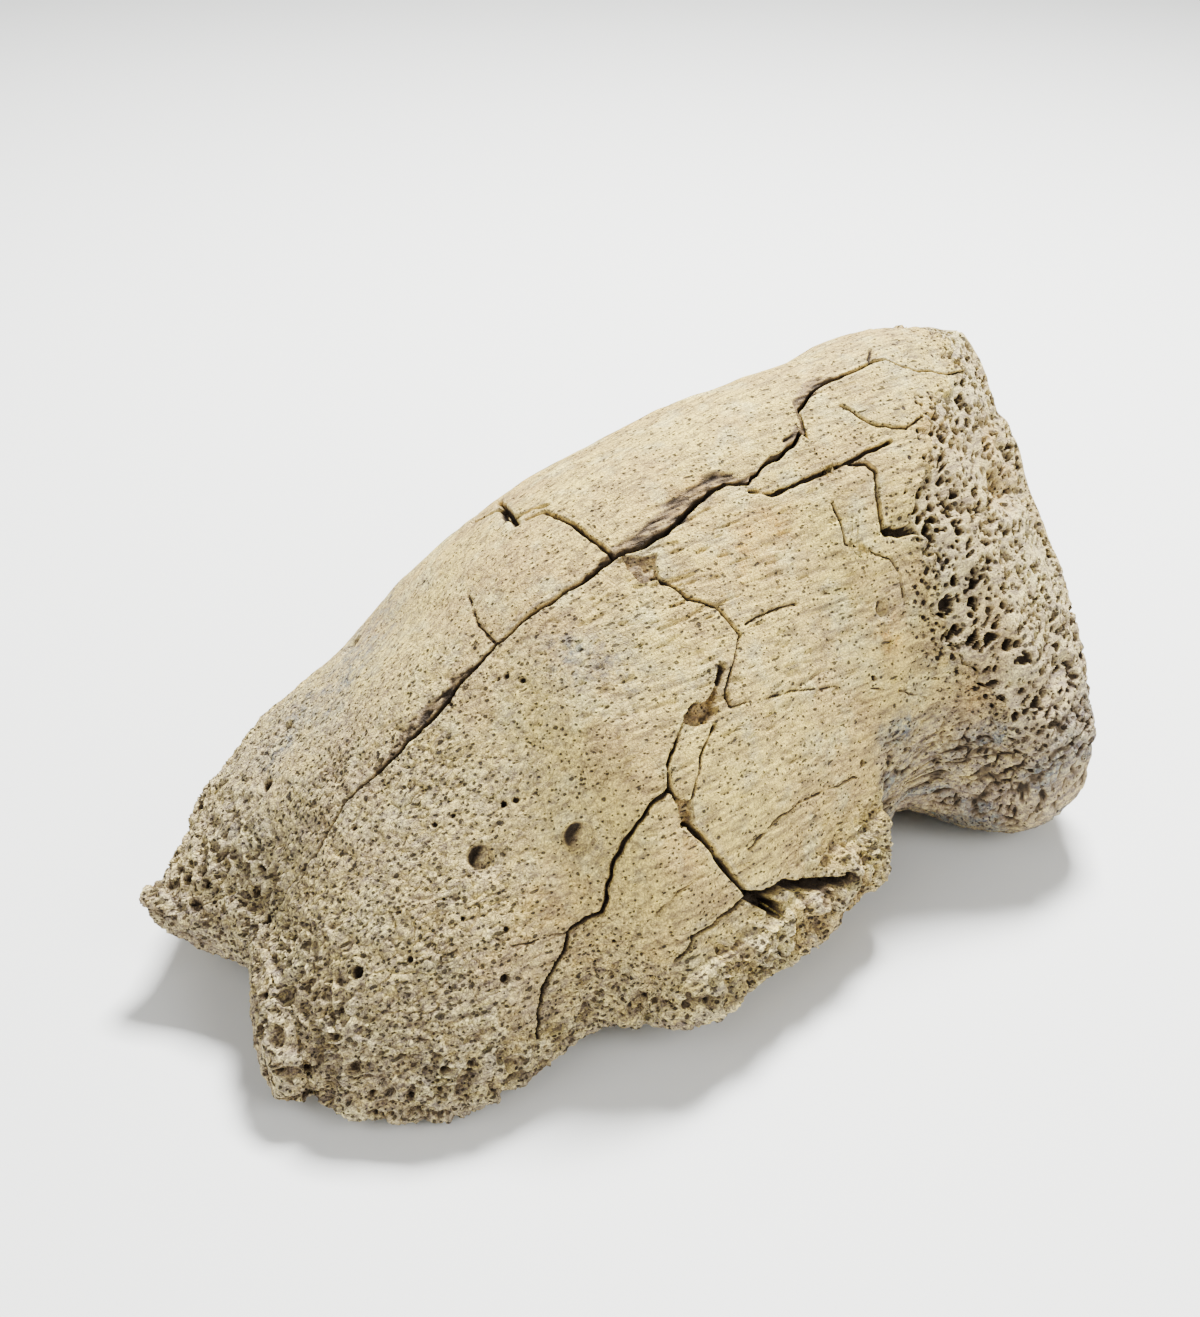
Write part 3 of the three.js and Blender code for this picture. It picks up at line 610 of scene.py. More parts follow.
@dataclass
class Seams:
    """The lines where the bone's fragments meet: the lengthwise crack and the broken edge of dense bone.

    The crack is a share around for each place along. The edge is a place along for each share
    between the crack, 0, and a margin, 1.
    """

    form: BoneForm
    view: PhotoView
    damage: Damage
    near_edge: Pixels = (
        (940, 398), (928, 420), (932, 440), (926, 455), (932, 465), (918, 480), (912, 500), (905, 520),
        (926, 532), (935, 565), (940, 610), (945, 640), (960, 655), (975, 675), (1000, 690),
    )
    far_edge: tuple = ((6, 51), (10, 49), (14, 45.5), (18, 46.5), (21, 42), (25, 44), (28, 40), (31, 41))
    margin_edge: float = 38.0
    crack_end_x: float = 52.5
    wiggle: float = 0.0009
    gaps: tuple = ((3.0, 9.0, 0.11), (-29.0, 4.5, 0.06), (24.0, 4.0, 0.12), (-14.0, 4.0, 0.10))
    closed_gap: float = 0.05
    plain_gap: float = 0.06
    torn: tuple = ((3.0, 10.0, 3.6), (-29.0, 6.0, 2.4), (26.0, 6.0, 2.8))

    def __post_init__(self) -> None:
        """Turns the drawn routes into shares and places."""
        route = self.form.cast(self.view, self.damage.lengthwise)
        route = route[np.argsort(route[:, 0])]
        self.crack_along = route[:, 0] - self.form.tip_x
        self.crack_around = np.array([self.form.around_of(x, y) for x, y, _ in route])
        crack_end = self.crack_end_x - self.form.tip_x
        near = self.form.cast(self.view, self.near_edge)
        far = [(x, y) for y, x in self.far_edge]
        self.edges = {
            Side.NEAR: self._edge([(x, y) for x, y, _ in near], 0.5, crack_end),
            Side.FAR: self._edge(far, 0.0, crack_end),
        }
        near_break = self.form.cast(self.view, self.damage.near_break)[:, :2]
        meeting = near_break[0, 0] - self.form.tip_x
        self.breaks = {
            Side.NEAR: self._break(near_break, 0.5, meeting),
            Side.FAR: self._break(np.array(self.damage.far_break), 0.0, meeting),
        }

    def _break(self, plan: Array, margin: float, meeting: float) -> tuple[Array, Array]:
        """A break across a flank: shares that only rise, with the break's places along."""
        shares = [self._share(x, y, margin) for x, y in plan]
        shares = np.clip(np.maximum.accumulate(np.concatenate([[0.0], shares])), 0.0, 1.0)
        return shares, np.concatenate([[meeting], plan[:, 0] - self.form.tip_x])

    def _share(self, x: float, y: float, margin: float) -> float:
        """How far a plan place lies on the way from the lengthwise crack to a margin."""
        crack = float(np.interp(x - self.form.tip_x, self.crack_along, self.crack_around))
        return (self.form.around_of(x, y) - crack) / (margin - crack)

    def broken(self, side: Side, share: Array) -> Array:
        """The place along where a flank is broken across."""
        return np.interp(share, *self.breaks[side])

    def _edge(self, points: list, margin: float, crack_end: float) -> tuple[Array, Array]:
        """Shares from the crack to a margin with their places along, in rising order of share."""
        shares, places = [0.0, 1.0], [crack_end, self.margin_edge - self.form.tip_x]
        for x, y in points:
            shares.append(self._share(x, y, margin))
            places.append(x - self.form.tip_x)
        order = np.argsort(shares)
        return np.array(shares)[order], np.array(places)[order]

    def crack(self, along: Array) -> Array:
        """The share around of the lengthwise crack, with a small fixed waver."""
        straight = np.interp(along, self.crack_along, self.crack_around)
        spot = np.stack([along, np.zeros_like(along), np.zeros_like(along)], -1)
        return straight + self.wiggle * (noise(spot, 2.2, 5) + 0.6 * noise(spot, 0.9, 6))

    def edge(self, side: Side, share: Array) -> Array:
        """The place along where dense bone ends, with a ragged outline."""
        shares, places = self.edges[side]
        straight = np.interp(share, shares, places)
        spot = np.stack([share * 60.0, np.full_like(share, side.value * 9.0), np.zeros_like(share)], -1)
        ragged = noise(spot, 2.6, 11) + 0.7 * noise(spot, 1.1, 12)
        return straight + ragged * smooth_step(0.0, 0.03, share) * smooth_step(1.0, 0.9, share)

    def crack_gap(self, along: Array) -> Array:
        """Half the width of the lengthwise crack, with a bell curve at each of its wide stretches."""
        x = along + self.form.tip_x
        wide = sum(height * bell(x - middle, width) for middle, width, height in self.gaps)
        ends = smooth_step(-52.0, -44.0, x) * smooth_step(44.0, 38.0, x)
        return (self.plain_gap + wide) * ends + self.closed_gap

    def torn_width(self, along: Array) -> Array:
        """How far torn fibres reach from the lengthwise crack."""
        x = along + self.form.tip_x
        return sum(height * bell(x - middle, width) for middle, width, height in self.torn)


def route_distance(points: Array, route: Array, reach: float) -> Array:
    """Distance from each point to a route of straight stretches, or reach where it is further.

    Args:
        points: places, one row each.
        route: the route's corners.
        reach: the distance past which nothing is measured.

    Returns:
        Distances in millimetres.
    """
    found = np.full(len(points), reach)
    for start, stop in zip(route[:-1], route[1:]):
        low, high = np.minimum(start, stop) - reach, np.maximum(start, stop) + reach
        close = np.flatnonzero(((points > low) & (points < high)).all(1))
        run = stop - start
        share = np.clip((points[close] - start) @ run / max(float(run @ run), 1e-9), 0.0, 1.0)
        away = np.linalg.norm(points[close] - start - share[:, None] * run, axis=1)
        found[close] = np.minimum(found[close], away)
    return found


def inside_outline(pixels: Array, outline: Pixels) -> Array:
    """True where a pixel lies inside the outline: a line to its right crosses it an odd number of times."""
    x, y = pixels[:, 0], pixels[:, 1]
    odd = np.zeros(len(pixels), bool)
    corners = list(outline)
    for (ax, ay), (bx, by) in zip(corners, corners[1:] + corners[:1]):
        crosses = (ay > y) != (by > y)
        odd ^= crosses & (x < (bx - ax) * (y - ay) / ((by - ay) or 1e-9) + ax)
    return odd


@dataclass
class Surface:
    """What the relief gives each point: how far it stands out, and how strongly each finish shows. The hollow
    number is painted shade and painted shadow in recesses, the grime number holds brown-grey dirt together
    with painted shade, and worn is pale wear with painted highlight on raised points.
    """

    out: Array
    hollow: Array
    open_bone: Array
    blue: Array
    rust: Array
    grime_and_shade: Array
    worn: Array

    NAMES = ("hollow", "open_bone", "blue", "rust", "grime_and_shade", "worn")


@dataclass
class Relief:
    """The bone's own relief and its damage, as heights over the smooth form.

    Scatters of lumps and holes are told apart by their seeds, the last number of each noise.
    """

    form: BoneForm
    view: PhotoView
    damage: Damage
    seams: Seams
    swells: tuple = ((0.4, 15.0, 41), (0.22, 7.0, 42))
    dense_thickness: float = 0.7
    ledge_x: float = -17.0
    ledge_proud: float = 1.3
    ledge_height: float = 6.0
    margin_end: float = 19.0
    margin_band: float = 6.5
    margin_ridges: tuple = ((0.55, 3.2, 61), (0.4, 1.7, 65), (0.2, 0.85, 66))
    margin_cell: tuple = (2.2, 1.6, 1.5)
    margin_pit: float = 1.1
    margin_speck: float = 0.5
    margin_web: float = 0.3
    wall_step: tuple = (19.5, 40.0, 20.0, 10.0, 8.0, 3.2, 1.6)
    wall_slant: float = -0.28
    tip_pores: tuple = ((2.3, 71, 0.8), (1.35, 77, 0.45))
    spongy_floor: float = 20.0
    spongy_x: float = 45.0
    spongy_cell: float = 1.5
    spongy_hole: float = 0.95
    edge_hole: float = 0.95
    crack_reach: float = 6.0
    near_tearing: float = 0.15
    torn_finish: tuple = (1.0, 0.4)
    flake_finish: tuple = (1.1, 0.4)
    soft_edge: float = 0.15
    ramp_direction: tuple = (0.6, -0.73, -0.33)
    straight_in: float = -0.6
    notch: tuple[float, float] = (2.2, 2.4)
    calm_end: float = -2.5
    calm_share: float = 0.45

    def __post_init__(self) -> None:
        """Finds the places of all that was drawn in the photograph."""
        form, view, damage = self.form, self.view, self.damage
        self.routes = [(crack, self._place(crack.route, crack.hidden)) for crack in damage.cracks]
        self.openings = [(each, self._place((each.place,), each.hidden)[0]) for each in damage.vessels]
        self.blue = [(stain, form.under_pixel(view, stain.pixel)) for stain in damage.blue]
        self.rust = [(stain, form.under_pixel(view, stain.pixel)) for stain in damage.rust]
        self.notch_place = form.under_pixel(view, damage.rim_notch)

    def _place(self, route: Pixels, hidden: bool) -> Array:
        """Places on the back under a drawn route: seen in the photograph, or drawn in plan where hidden."""
        if not hidden:
            return self.form.cast(self.view, route)
        x, y = np.array(route, float).T
        return np.stack([x, y, self.form.back_height(x, y)], -1)

    def evaluate(self, along: Array, around: Array, bare: Array, to_edge: Array) -> tuple[Array, Surface]:
        """Places of the finished surface, and its finishes.

        Args:
            along: millimetres from the tip's plane, any shape.
            around: the share of the way around, of the same shape.
            bare: 1 where the dense outer bone is gone, 0 where it is whole.
            to_edge: millimetres to the broken edge of the dense bone.

        Returns:
            Places in the drawing frame, one row each, and the surface's finishes.
        """
        along, around, bare, to_edge = (a.ravel() for a in np.broadcast_arrays(along, around, bare, to_edge))
        p, n = self.form.at(along, around)
        x, y, z = p.T
        near = y < curve_through(self.form.crest, x)[0]
        margins = [curve_through(line, x)[1] for line in (self.form.near_margin, self.form.far_margin)]
        above = z - np.where(near, *margins)
        s = Surface(*np.zeros((1 + len(Surface.NAMES), len(p))))
        hoof = smooth_step(self.margin_end + 0.8, self.margin_end - 0.8, x + 0.8 * noise(p, 2.5, 31))
        under = smooth_step(0.1, 0.6, -n[:, 2])
        wall = (1 - hoof) * smooth_step(self.spongy_floor + 9, self.spongy_floor - 3, z) * (1 - bare)
        s.out += sum(height * noise(p, size, seed) for height, size, seed in self.swells)
        self._step_sides(s, p, near, hoof, above)
        swollen = s.out.copy()
        self._grain_dense(s, p, bare)
        self._roughen_margin(s, p, hoof, above, under)
        self._pit_tip(s, p, bare)
        self._wrinkle_wall(s, p, wall)
        self._open_spongy(s, p, bare)
        self._pit_edge(s, p, bare, to_edge)
        fine = s.out - swollen + self.dense_thickness * bare
        # Cavity shading: painted shade in the fine relief's low spots and painted highlight on its raised
        # spots.
        s.grime_and_shade += 0.55 * smooth_step(-0.1, -0.8, fine)
        s.worn += 0.45 * smooth_step(0.12, 0.6, fine)
        self._crack_lengthwise(s, p, along, around, bare)
        self._cut_cracks(s, p, bare)
        self._break_flakes(s, p, n)
        self._open_vessels(s, p)
        self._stain(s, p, under)
        depth, radius = self.notch
        s.out -= depth * bell(np.linalg.norm(p - self.notch_place, axis=1), radius)
        grown = smooth_step(self.form.start, self.calm_end, along)
        s.out *= self.calm_share + (1 - self.calm_share) * grown
        finished = p + n * s.out[:, None]
        finished[:, 2] = np.maximum(finished[:, 2], 0.0)
        for name in Surface.NAMES:
            setattr(s, name, np.clip(getattr(s, name), 0.0, 1.0))
        return finished, s

    def _grain_dense(self, s: Surface, p: Array, bare: Array) -> None:
        """Lengthwise grain of dense bone, with slits that crowd on the near flank beside the crack, painted
        dark inside as shade.
        """
        crowd = 0.35 + 0.65 * bell(p[:, 0] + 3.0, 13.0) * bell(p[:, 1] + 15.0, 9.0)
        slit = smooth_step(0.42, 0.75, noise(p, (3.0, 0.6, 0.6), 45)) * crowd
        fine_slit = smooth_step(0.45, 0.8, noise(p, (1.6, 0.45, 0.45), 46)) * (0.4 + 0.6 * crowd)
        s.out += (1 - bare) * (0.07 * noise(p, 2.3, 43) + 0.06 * noise(p, (4.0, 0.6, 0.6), 44))
        s.out -= (1 - bare) * (0.30 * slit + 0.16 * fine_slit)
        s.hollow += (1 - bare) * (0.30 * slit + 0.30 * fine_slit)
        s.open_bone += 0.3 * crowd * (1 - bare)

    def _on_ledge(self, x: Array) -> Array:
        """1 behind the place where the hoof margin's ledge begins, 0 before it."""
        return smooth_step(self.ledge_x - 3, self.ledge_x + 3, x)

    def _step_sides(self, s: Surface, p: Array, near: Array, hoof: Array, above: Array) -> None:
        """The hoof margin's proud ledge, and the side wall that steps in behind it, with painted shade where
        it steps in.
        """
        x, y, z = p.T
        over = above + 0.9 * noise(p, 3.0, 51) + 0.5 * noise(p, 1.2, 52)
        ledge = hoof * self._on_ledge(x) * smooth_step(-5.0, -1.0, above)
        top = smooth_step(self.ledge_height + 0.5, self.ledge_height - 0.5, over)
        s.out += self.ledge_proud * ledge * top
        start, end, side, middle, band, near_in, far_in = self.wall_step
        step = smooth_step(start - 0.8, start + 1.2, x + 0.6 * noise(p, 2.5, 31))
        step *= smooth_step(end, start + 6, x)
        step *= smooth_step(side - 4, side + 4, np.abs(y)) * bell(z - middle, band)
        s.out -= step * np.where(near, near_in, far_in)
        s.hollow += 0.5 * step * smooth_step(start + 4, start, x)

    def _roughen_margin(self, s: Surface, p: Array, hoof: Array, above: Array, under: Array) -> None:
        """The rough hoof margin: broad knobs, sharp ridges of three sizes and deep open pits, with painted
        shade in the pits, specks and valleys between ridges, and a darker brown in the pits.
        """
        tip = smooth_step(-43.0, -52.0, p[:, 0])
        over = above - 1.0 + 1.6 * noise(p, 5.0, 60)
        band = bell(np.minimum(over, 0.0) * 0.5 + np.maximum(over, 0.0), self.margin_band)
        band *= 0.75 + 0.25 * self._on_ledge(p[:, 0])
        rough = hoof * np.maximum(band, tip) * (1 - 0.35 * under) * (1 - 0.38 * tip)
        picked = np.flatnonzero(rough > 0.04)
        q, share = p[picked], rough[picked]
        ridges = [(height, fold(q, size, seed)) for height, size, seed in self.margin_ridges]
        middle_ridge = ridges[1][1]
        knobs = 0.9 * noise(q, 6.0, 62)
        s.out[picked] += share * (knobs + sum(height * ridge for height, ridge in ridges) - 0.35)
        nearest, second, owner = cells(q + 0.5 * noise(q, 2.0, 67)[:, None], self.margin_cell, 64)
        pit = smooth_step(0.06, 0.34, second - nearest) * smooth_step(0.25, 0.4, owner)
        web = smooth_step(0.28, 0.0, second - nearest)
        small, _, lot = cells(q, 0.95, 68)
        speck = smooth_step(0.42, 0.22, small) * smooth_step(0.4, 0.55, lot)
        s.out[picked] -= share * (self.margin_pit * pit + self.margin_speck * speck - self.margin_web * web)
        s.hollow[picked] += share * (0.42 * pit + 0.7 * speck + 0.3 * smooth_step(0.0, -0.45, middle_ridge))
        s.grime_and_shade[picked] += 0.5 * share * pit
        s.worn[picked] += share * (1 - pit) * 0.6 * smooth_step(0.3, 0.8, middle_ridge)
        s.open_bone += rough

    def _pit_tip(self, s: Surface, p: Array, bare: Array) -> None:
        """The worm-eaten look of the tip half: scattered round pores, winding grooves and small lumps, with
        painted shadow in the pores and painted shade in the grooves.
        """
        x, z = p[:, 0], p[:, 2]
        low = smooth_step(26.0, 10.0, z) * smooth_step(-4.0, -24.0, x)
        amount = np.maximum(smooth_step(-12.0, -46.0, x), 0.75 * low) * (1 - bare)
        amount *= 0.75 + 0.5 * noise(p, 8.0, 70)
        picked = np.flatnonzero(amount > 0.03)
        q, share = p[picked], np.clip(amount[picked], 0.0, 1.0)
        limit = 0.12 + 0.4 * share * smooth_step(-0.4, 0.6, noise(q, 4.5, 72))
        for size, seed, depth in self.tip_pores:
            nearest, _, owner = cells(q, size, seed)
            radius = 0.12 + 0.3 * owner * (0.5 + 0.5 * share)
            hole = smooth_step(radius, radius * 0.5, nearest) * smooth_step(limit, limit - 0.06, owner)
            s.out[picked] -= depth * hole * (0.5 + 0.5 * share)
            s.hollow[picked] += 0.85 * hole
        worm = winding(q, (1.3, 0.8, 0.8), 75, 0.2, 0.02)
        fine = winding(q, (0.8, 0.55, 0.55), 74, 0.2, 0.02)
        lumps = 0.26 * noise(q, 1.5, 76) + 0.1 * noise(q, 0.7, 79)
        s.out[picked] += share * (lumps - 0.26 * worm - 0.12 * fine)
        s.hollow[picked] += share * (0.26 * worm + 0.16 * fine)
        s.worn[picked] += 0.4 * share * (1 - worm)
        s.open_bone += amount

    def _wrinkle_wall(self, s: Surface, p: Array, wall: Array) -> None:
        """Short wavy wrinkles of the side walls behind the hoof margin, with painted shade in the grooves
        between them, and the walls darkened brown-grey and blue-grey all over, partly stain and partly
        painted shade.
        """
        picked = np.flatnonzero(wall > 0.03)
        q, share = p[picked], wall[picked]
        slanted = q + self.wall_slant * q[:, :1] * np.array([0.0, 0.0, 1.0])
        groove = winding(slanted, (2.8, 0.95, 0.85), 81, 0.26)
        crease = winding(slanted, (1.5, 0.6, 0.55), 84, 0.2)
        lumps = 0.35 * noise(q, 4.5, 82) + 0.25 * noise(q, 1.6, 83)
        s.out[picked] += share * (lumps - 0.6 * groove - 0.25 * crease)
        s.hollow[picked] += share * (0.62 * groove + 0.45 * crease)
        s.grime_and_shade[picked] += share * (1.1 + 0.4 * noise(q, 3.0, 85))
        s.blue[picked] += 0.9 * share * smooth_step(-0.1, 0.5, noise(q, (5.0, 3.0, 3.0), 86))

    def _open_spongy(self, s: Surface, p: Array, bare: Array) -> None:
        """Bare spongy bone: open cells of two sizes in a pale web, drawn out to the joint lower down, with
        painted shadow in the cells and holes, painted shade between the low ridges, and a darker brown-grey
        lower down.
        """
        picked = np.flatnonzero(bare > 0.02)
        q, share = p[picked], bare[picked]
        low = smooth_step(36.0, 20.0, q[:, 2])
        behind = q[:, 0] - self.spongy_x
        drawn = np.stack([behind / (1.15 + 0.95 * low), q[:, 1], q[:, 2] - 0.25 * behind], -1)
        drawn += 0.3 * drift(q, 1.7, 90)
        cluster = noise(q, (5.5, 3.5, 3.5), 102)
        nearest, second, owner = cells(drawn, self.spongy_cell, 94)
        radius = 0.27 + 0.24 * owner
        cell = smooth_step(radius + 0.07, radius - 0.09, nearest) * smooth_step(0.02, 0.2, second - nearest)
        cell *= smooth_step(0.1, 0.3, owner + 0.4 * cluster)
        nearest, second, lot = cells(drawn, self.spongy_hole, 98)
        hole = smooth_step(0.46, 0.28, nearest) * smooth_step(0.3, 0.42, lot)
        hole *= smooth_step(0.02, 0.14, second - nearest)
        hole *= 1 - cell
        cavity = smooth_step(0.35, 0.75, cluster)
        depth = 1.5 * cell * (0.5 + 0.6 * owner) + 0.65 * hole + 0.7 * cavity
        ridge = fold(drawn, (2.6, 1.0, 1.0), 107)
        lumps = 0.55 * noise(q, 6.0, 103) + 0.3 * noise(q, 2.6, 104) + 0.28 * low * ridge
        s.out[picked] += share * (lumps - self.dense_thickness - depth + 0.2)
        s.hollow[picked] += share * (cell * (0.55 + 0.5 * owner) + 0.85 * hole)
        s.hollow[picked] += 0.35 * share * low * smooth_step(0.1, -0.5, ridge)
        s.worn[picked] += share * 0.25 * (1 - cell) * (1 - hole) * (1 - 0.7 * low)
        s.grime_and_shade[picked] += share * (0.55 * low + 0.2)
        s.open_bone += 0.25 * bare

    def _pit_edge(self, s: Surface, p: Array, bare: Array, to_edge: Array) -> None:
        """Worn-through spots on the dense bone beside its broken edge, with painted shadow in the holes."""
        close = smooth_step(5.0, 0.0, to_edge) * (1 - bare) * smooth_step(14.0, 24.0, p[:, 2])
        picked = np.flatnonzero(close > 0.03)
        q, share = p[picked], close[picked]
        nearest, _, lot = cells(q, self.edge_hole, 106)
        hole = smooth_step(0.44, 0.26, nearest) * smooth_step(0.75, 0.55, lot + 0.4 * (1 - share))
        flaked = smooth_step(0.15, 0.3, noise(q, (2.4, 1.5, 1.5), 110)) * share
        s.out[picked] -= 0.55 * hole * share + 0.3 * flaked
        s.hollow[picked] += 0.85 * hole
        s.grime_and_shade[picked] += 0.25 * flaked
        s.open_bone[picked] += 0.5 * share

    def _crack_lengthwise(self, s: Surface, p: Array, along: Array, around: Array, bare: Array) -> None:
        """The long crack between the flanks, painted dark inside as shadow, with torn fibres on the far side
        of its wide stretches and painted shade among them.
        """
        picked = np.flatnonzero((around < 0.499) & (bare < 0.5))
        middle = self.seams.crack(along[picked])
        on_crack, _ = self.form.at(along[picked], middle)
        away = np.linalg.norm(p[picked] - on_crack, axis=1)
        close = away < self.crack_reach
        picked, middle, away = picked[close], middle[close], away[close]
        q = p[picked]
        gap, width = self.seams.crack_gap(along[picked]), self.seams.torn_width(along[picked])
        ragged = gap * (1 + 0.5 * noise(q, (1.5, 0.7, 0.7), 112))
        open_part = smooth_step(ragged + 0.16, ragged * 0.5, away)
        fibres = noise(q, (3.0, 0.36, 0.36), 111)
        reach = width * np.where(around[picked] < middle, 1.0, self.near_tearing)
        reach *= 0.85 + 0.25 * noise(q, (5.0, 1.2, 1.2), 114)
        torn = smooth_step(reach, 0.65 * reach, away + 0.45 * noise(q, (2.6, 0.6, 0.6), 113) + 0.1)
        torn *= smooth_step(0.1, 0.6, width)
        s.out[picked] -= open_part * np.minimum(0.6 + 4.2 * gap, 2.2) + torn * (0.22 + 0.3 * fibres)
        s.hollow[picked] += open_part + torn * (0.36 + 0.34 * smooth_step(-0.15, 0.4, fibres))
        grime_and_shade, rust = self.torn_finish
        s.grime_and_shade[picked] += grime_and_shade * torn
        s.rust[picked] += rust * torn
        s.worn[picked] += 0.4 * bell(away - ragged - 0.3, 0.22) * (1 - torn)

    def _cut_cracks(self, s: Surface, p: Array, bare: Array) -> None:
        """The drawn cracks of the dense bone, painted dark inside as shadow, with worn edges along the wide
        ones.
        """
        wavered = p + 0.22 * drift(p, 1.3, 121)
        solid = 1 - smooth_step(0.3, 0.7, bare)
        for crack, route in self.routes:
            away = route_distance(wavered, route, 3.0)
            half = crack.gap / 2
            cut = smooth_step(half + self.soft_edge, half * 0.5, away) * solid
            s.out -= crack.depth * cut
            s.hollow += min(1.0, 0.55 + crack.gap) * cut
            s.worn += 0.35 * bell(away - half - 0.4, 0.25) * smooth_step(0.3, 0.7, crack.gap)

    def _break_flakes(self, s: Surface, p: Array, n: Array) -> None:
        """Shallow beds with a rough floor where flakes of dense bone broke away, with painted shade over the
        floor.
        """
        facing = ((np.array(self.view.place) - p) * n).sum(1) > 0
        visible = np.flatnonzero(facing)
        pixels = self.view.pixels(p[visible])
        pixels += 2.0 * np.stack([noise(p[visible], 0.9, 131), noise(p[visible], 0.9, 132)], -1)
        grime_and_shade, rust = self.flake_finish
        for flake in self.damage.flakes:
            hit = visible[inside_outline(pixels, flake.outline)]
            s.out[hit] -= flake.depth * (1 + 0.3 * noise(p[hit], 0.8, 133))
            s.hollow[hit] += 0.24 + 0.4 * noise(p[hit], (1.6, 0.7, 0.7), 134)
            s.grime_and_shade[hit] += grime_and_shade
            s.rust[hit] += rust

    def _open_vessels(self, s: Surface, p: Array) -> None:
        """Vessel openings: round bowls, of which canals dive under one edge and rise as a ramp, painted as
        shadow under that edge, with a darker brown in the bowl and ramp.
        """
        ramp_way = np.array(self.ramp_direction)
        for vessel, place in self.openings:
            offset = (p - place) / vessel.radius
            away = np.linalg.norm(offset, axis=1)
            lean = np.clip(offset @ ramp_way, -1.0, 1.0) if vessel.canal else self.straight_in
            bowl = smooth_step(1.1, 0.62, away) * (0.62 - 0.38 * lean)
            ramp = smooth_step(1.7, 0.2, np.linalg.norm(offset - 0.9 * ramp_way, axis=1)) * vessel.canal
            s.out -= vessel.depth * bowl + 0.45 * ramp * (1 - bowl)
            # Painted shadow inside the opening on the side where a canal dives under its edge.
            s.hollow += 0.85 * smooth_step(1.0, 0.7, away) * smooth_step(0.45, -0.75, lean)
            s.grime_and_shade += 0.7 * np.maximum(bowl, 0.6 * ramp)
            s.worn += 0.25 * bell(away - 1.2, 0.2)

    def _stain(self, s: Surface, p: Array, under: Array) -> None:
        """Mineral stains where the photograph shows them, fainter ones elsewhere, darker brown-grey towards
        the tip and low down, and painted shade on faces that point down.
        """
        x, y, z = p.T
        blot = 0.5 + 0.5 * noise(p, 3.0, 141) + 0.4 * noise(p, 1.2, 142)
        for drawn, target in ((self.blue, s.blue), (self.rust, s.rust)):
            for stain, place in drawn:
                target += stain.strength * bell(np.linalg.norm(p - place, axis=1), stain.radius) * blot
        hidden = smooth_step(4.0, 14.0, y)
        s.blue += 0.6 * hidden * smooth_step(0.25, 0.8, noise(p, 11.0, 143)) * blot
        s.rust += 0.6 * hidden * smooth_step(0.3, 0.8, noise(p, 9.0, 144)) * blot
        # Painted shade on faces that point down (under); darker towards the tip and low down on the tip half.
        s.grime_and_shade += 0.45 * smooth_step(-8.0, -48.0, x) + 0.35 * under
        s.grime_and_shade += 0.25 * smooth_step(26.0, 6.0, z) * smooth_step(6.0, -20.0, x)


def write_mesh(name: str, points: Array, quads: Array, triangles: Array, surface: Surface) -> Piece:
    """Makes a mesh object at the origin, in metres, with one number a point for each finish.

    Args:
        name: the piece's name.
        points: places in drawing millimetres.
        quads: corners of the four-sided faces.
        triangles: corners of the three-sided faces.
        surface: the finishes, which are 0 for points past their end.

    Returns:
        The new object.
    """
    mesh = bpy.data.meshes.new(name)
    mesh.vertices.add(len(points))
    mesh.vertices.foreach_set("co", ((points - MIDDLE) * METRES).astype(np.float32).ravel())
    corners = np.concatenate([quads.ravel(), triangles.ravel()]).astype(np.int32)
    sizes = np.concatenate([np.full(len(quads), 4), np.full(len(triangles), 3)])
    starts = np.concatenate([[0], np.cumsum(sizes)[:-1]]).astype(np.int32)
    mesh.loops.add(len(corners))
    mesh.loops.foreach_set("vertex_index", corners)
    mesh.polygons.add(len(sizes))
    mesh.polygons.foreach_set("loop_start", starts)
    mesh.polygons.foreach_set("use_smooth", np.ones(len(sizes), bool))
    for key in Surface.NAMES:
        values = getattr(surface, key)
        padded = np.zeros(len(points), np.float32)
        padded[: len(values)] = values
        mesh.attributes.new(key, "FLOAT", "POINT").data.foreach_set("value", padded)
    mesh.update(calc_edges=True)
    mesh.validate()
    mesh.set_sharp_from_angle(angle=math.radians(SHARP_DEG))
    piece = bpy.data.objects.new(name, mesh)
    bpy.context.scene.collection.objects.link(piece)
    return piece


def grid_quads(rows: int, columns: int, wrap: bool = False) -> Array:
    """Corners of the faces of a grid whose points run row by row, facing out when columns run
    from the far margin over the crest and rows run towards the joint."""
    index = np.arange(rows * columns).reshape(rows, columns)
    if wrap:
        index = np.concatenate([index, index[:, :1]], axis=1)
    return np.stack([index[:-1, :-1], index[:-1, 1:], index[1:, 1:], index[1:, :-1]], -1).reshape(-1, 4)


def fan(ring: Array, hub: int, flip: bool) -> Array:
    """Triangles from a hub to each step of a ring of points."""
    a, b = ring[:-1], ring[1:]
    first, second = (b, a) if flip else (a, b)
    return np.stack([np.full(len(a), hub), first, second], -1)


class Part(Enum):
    """The two parts that a break across the bone makes of each flank."""

    TIP = 0
    JOINT = 1


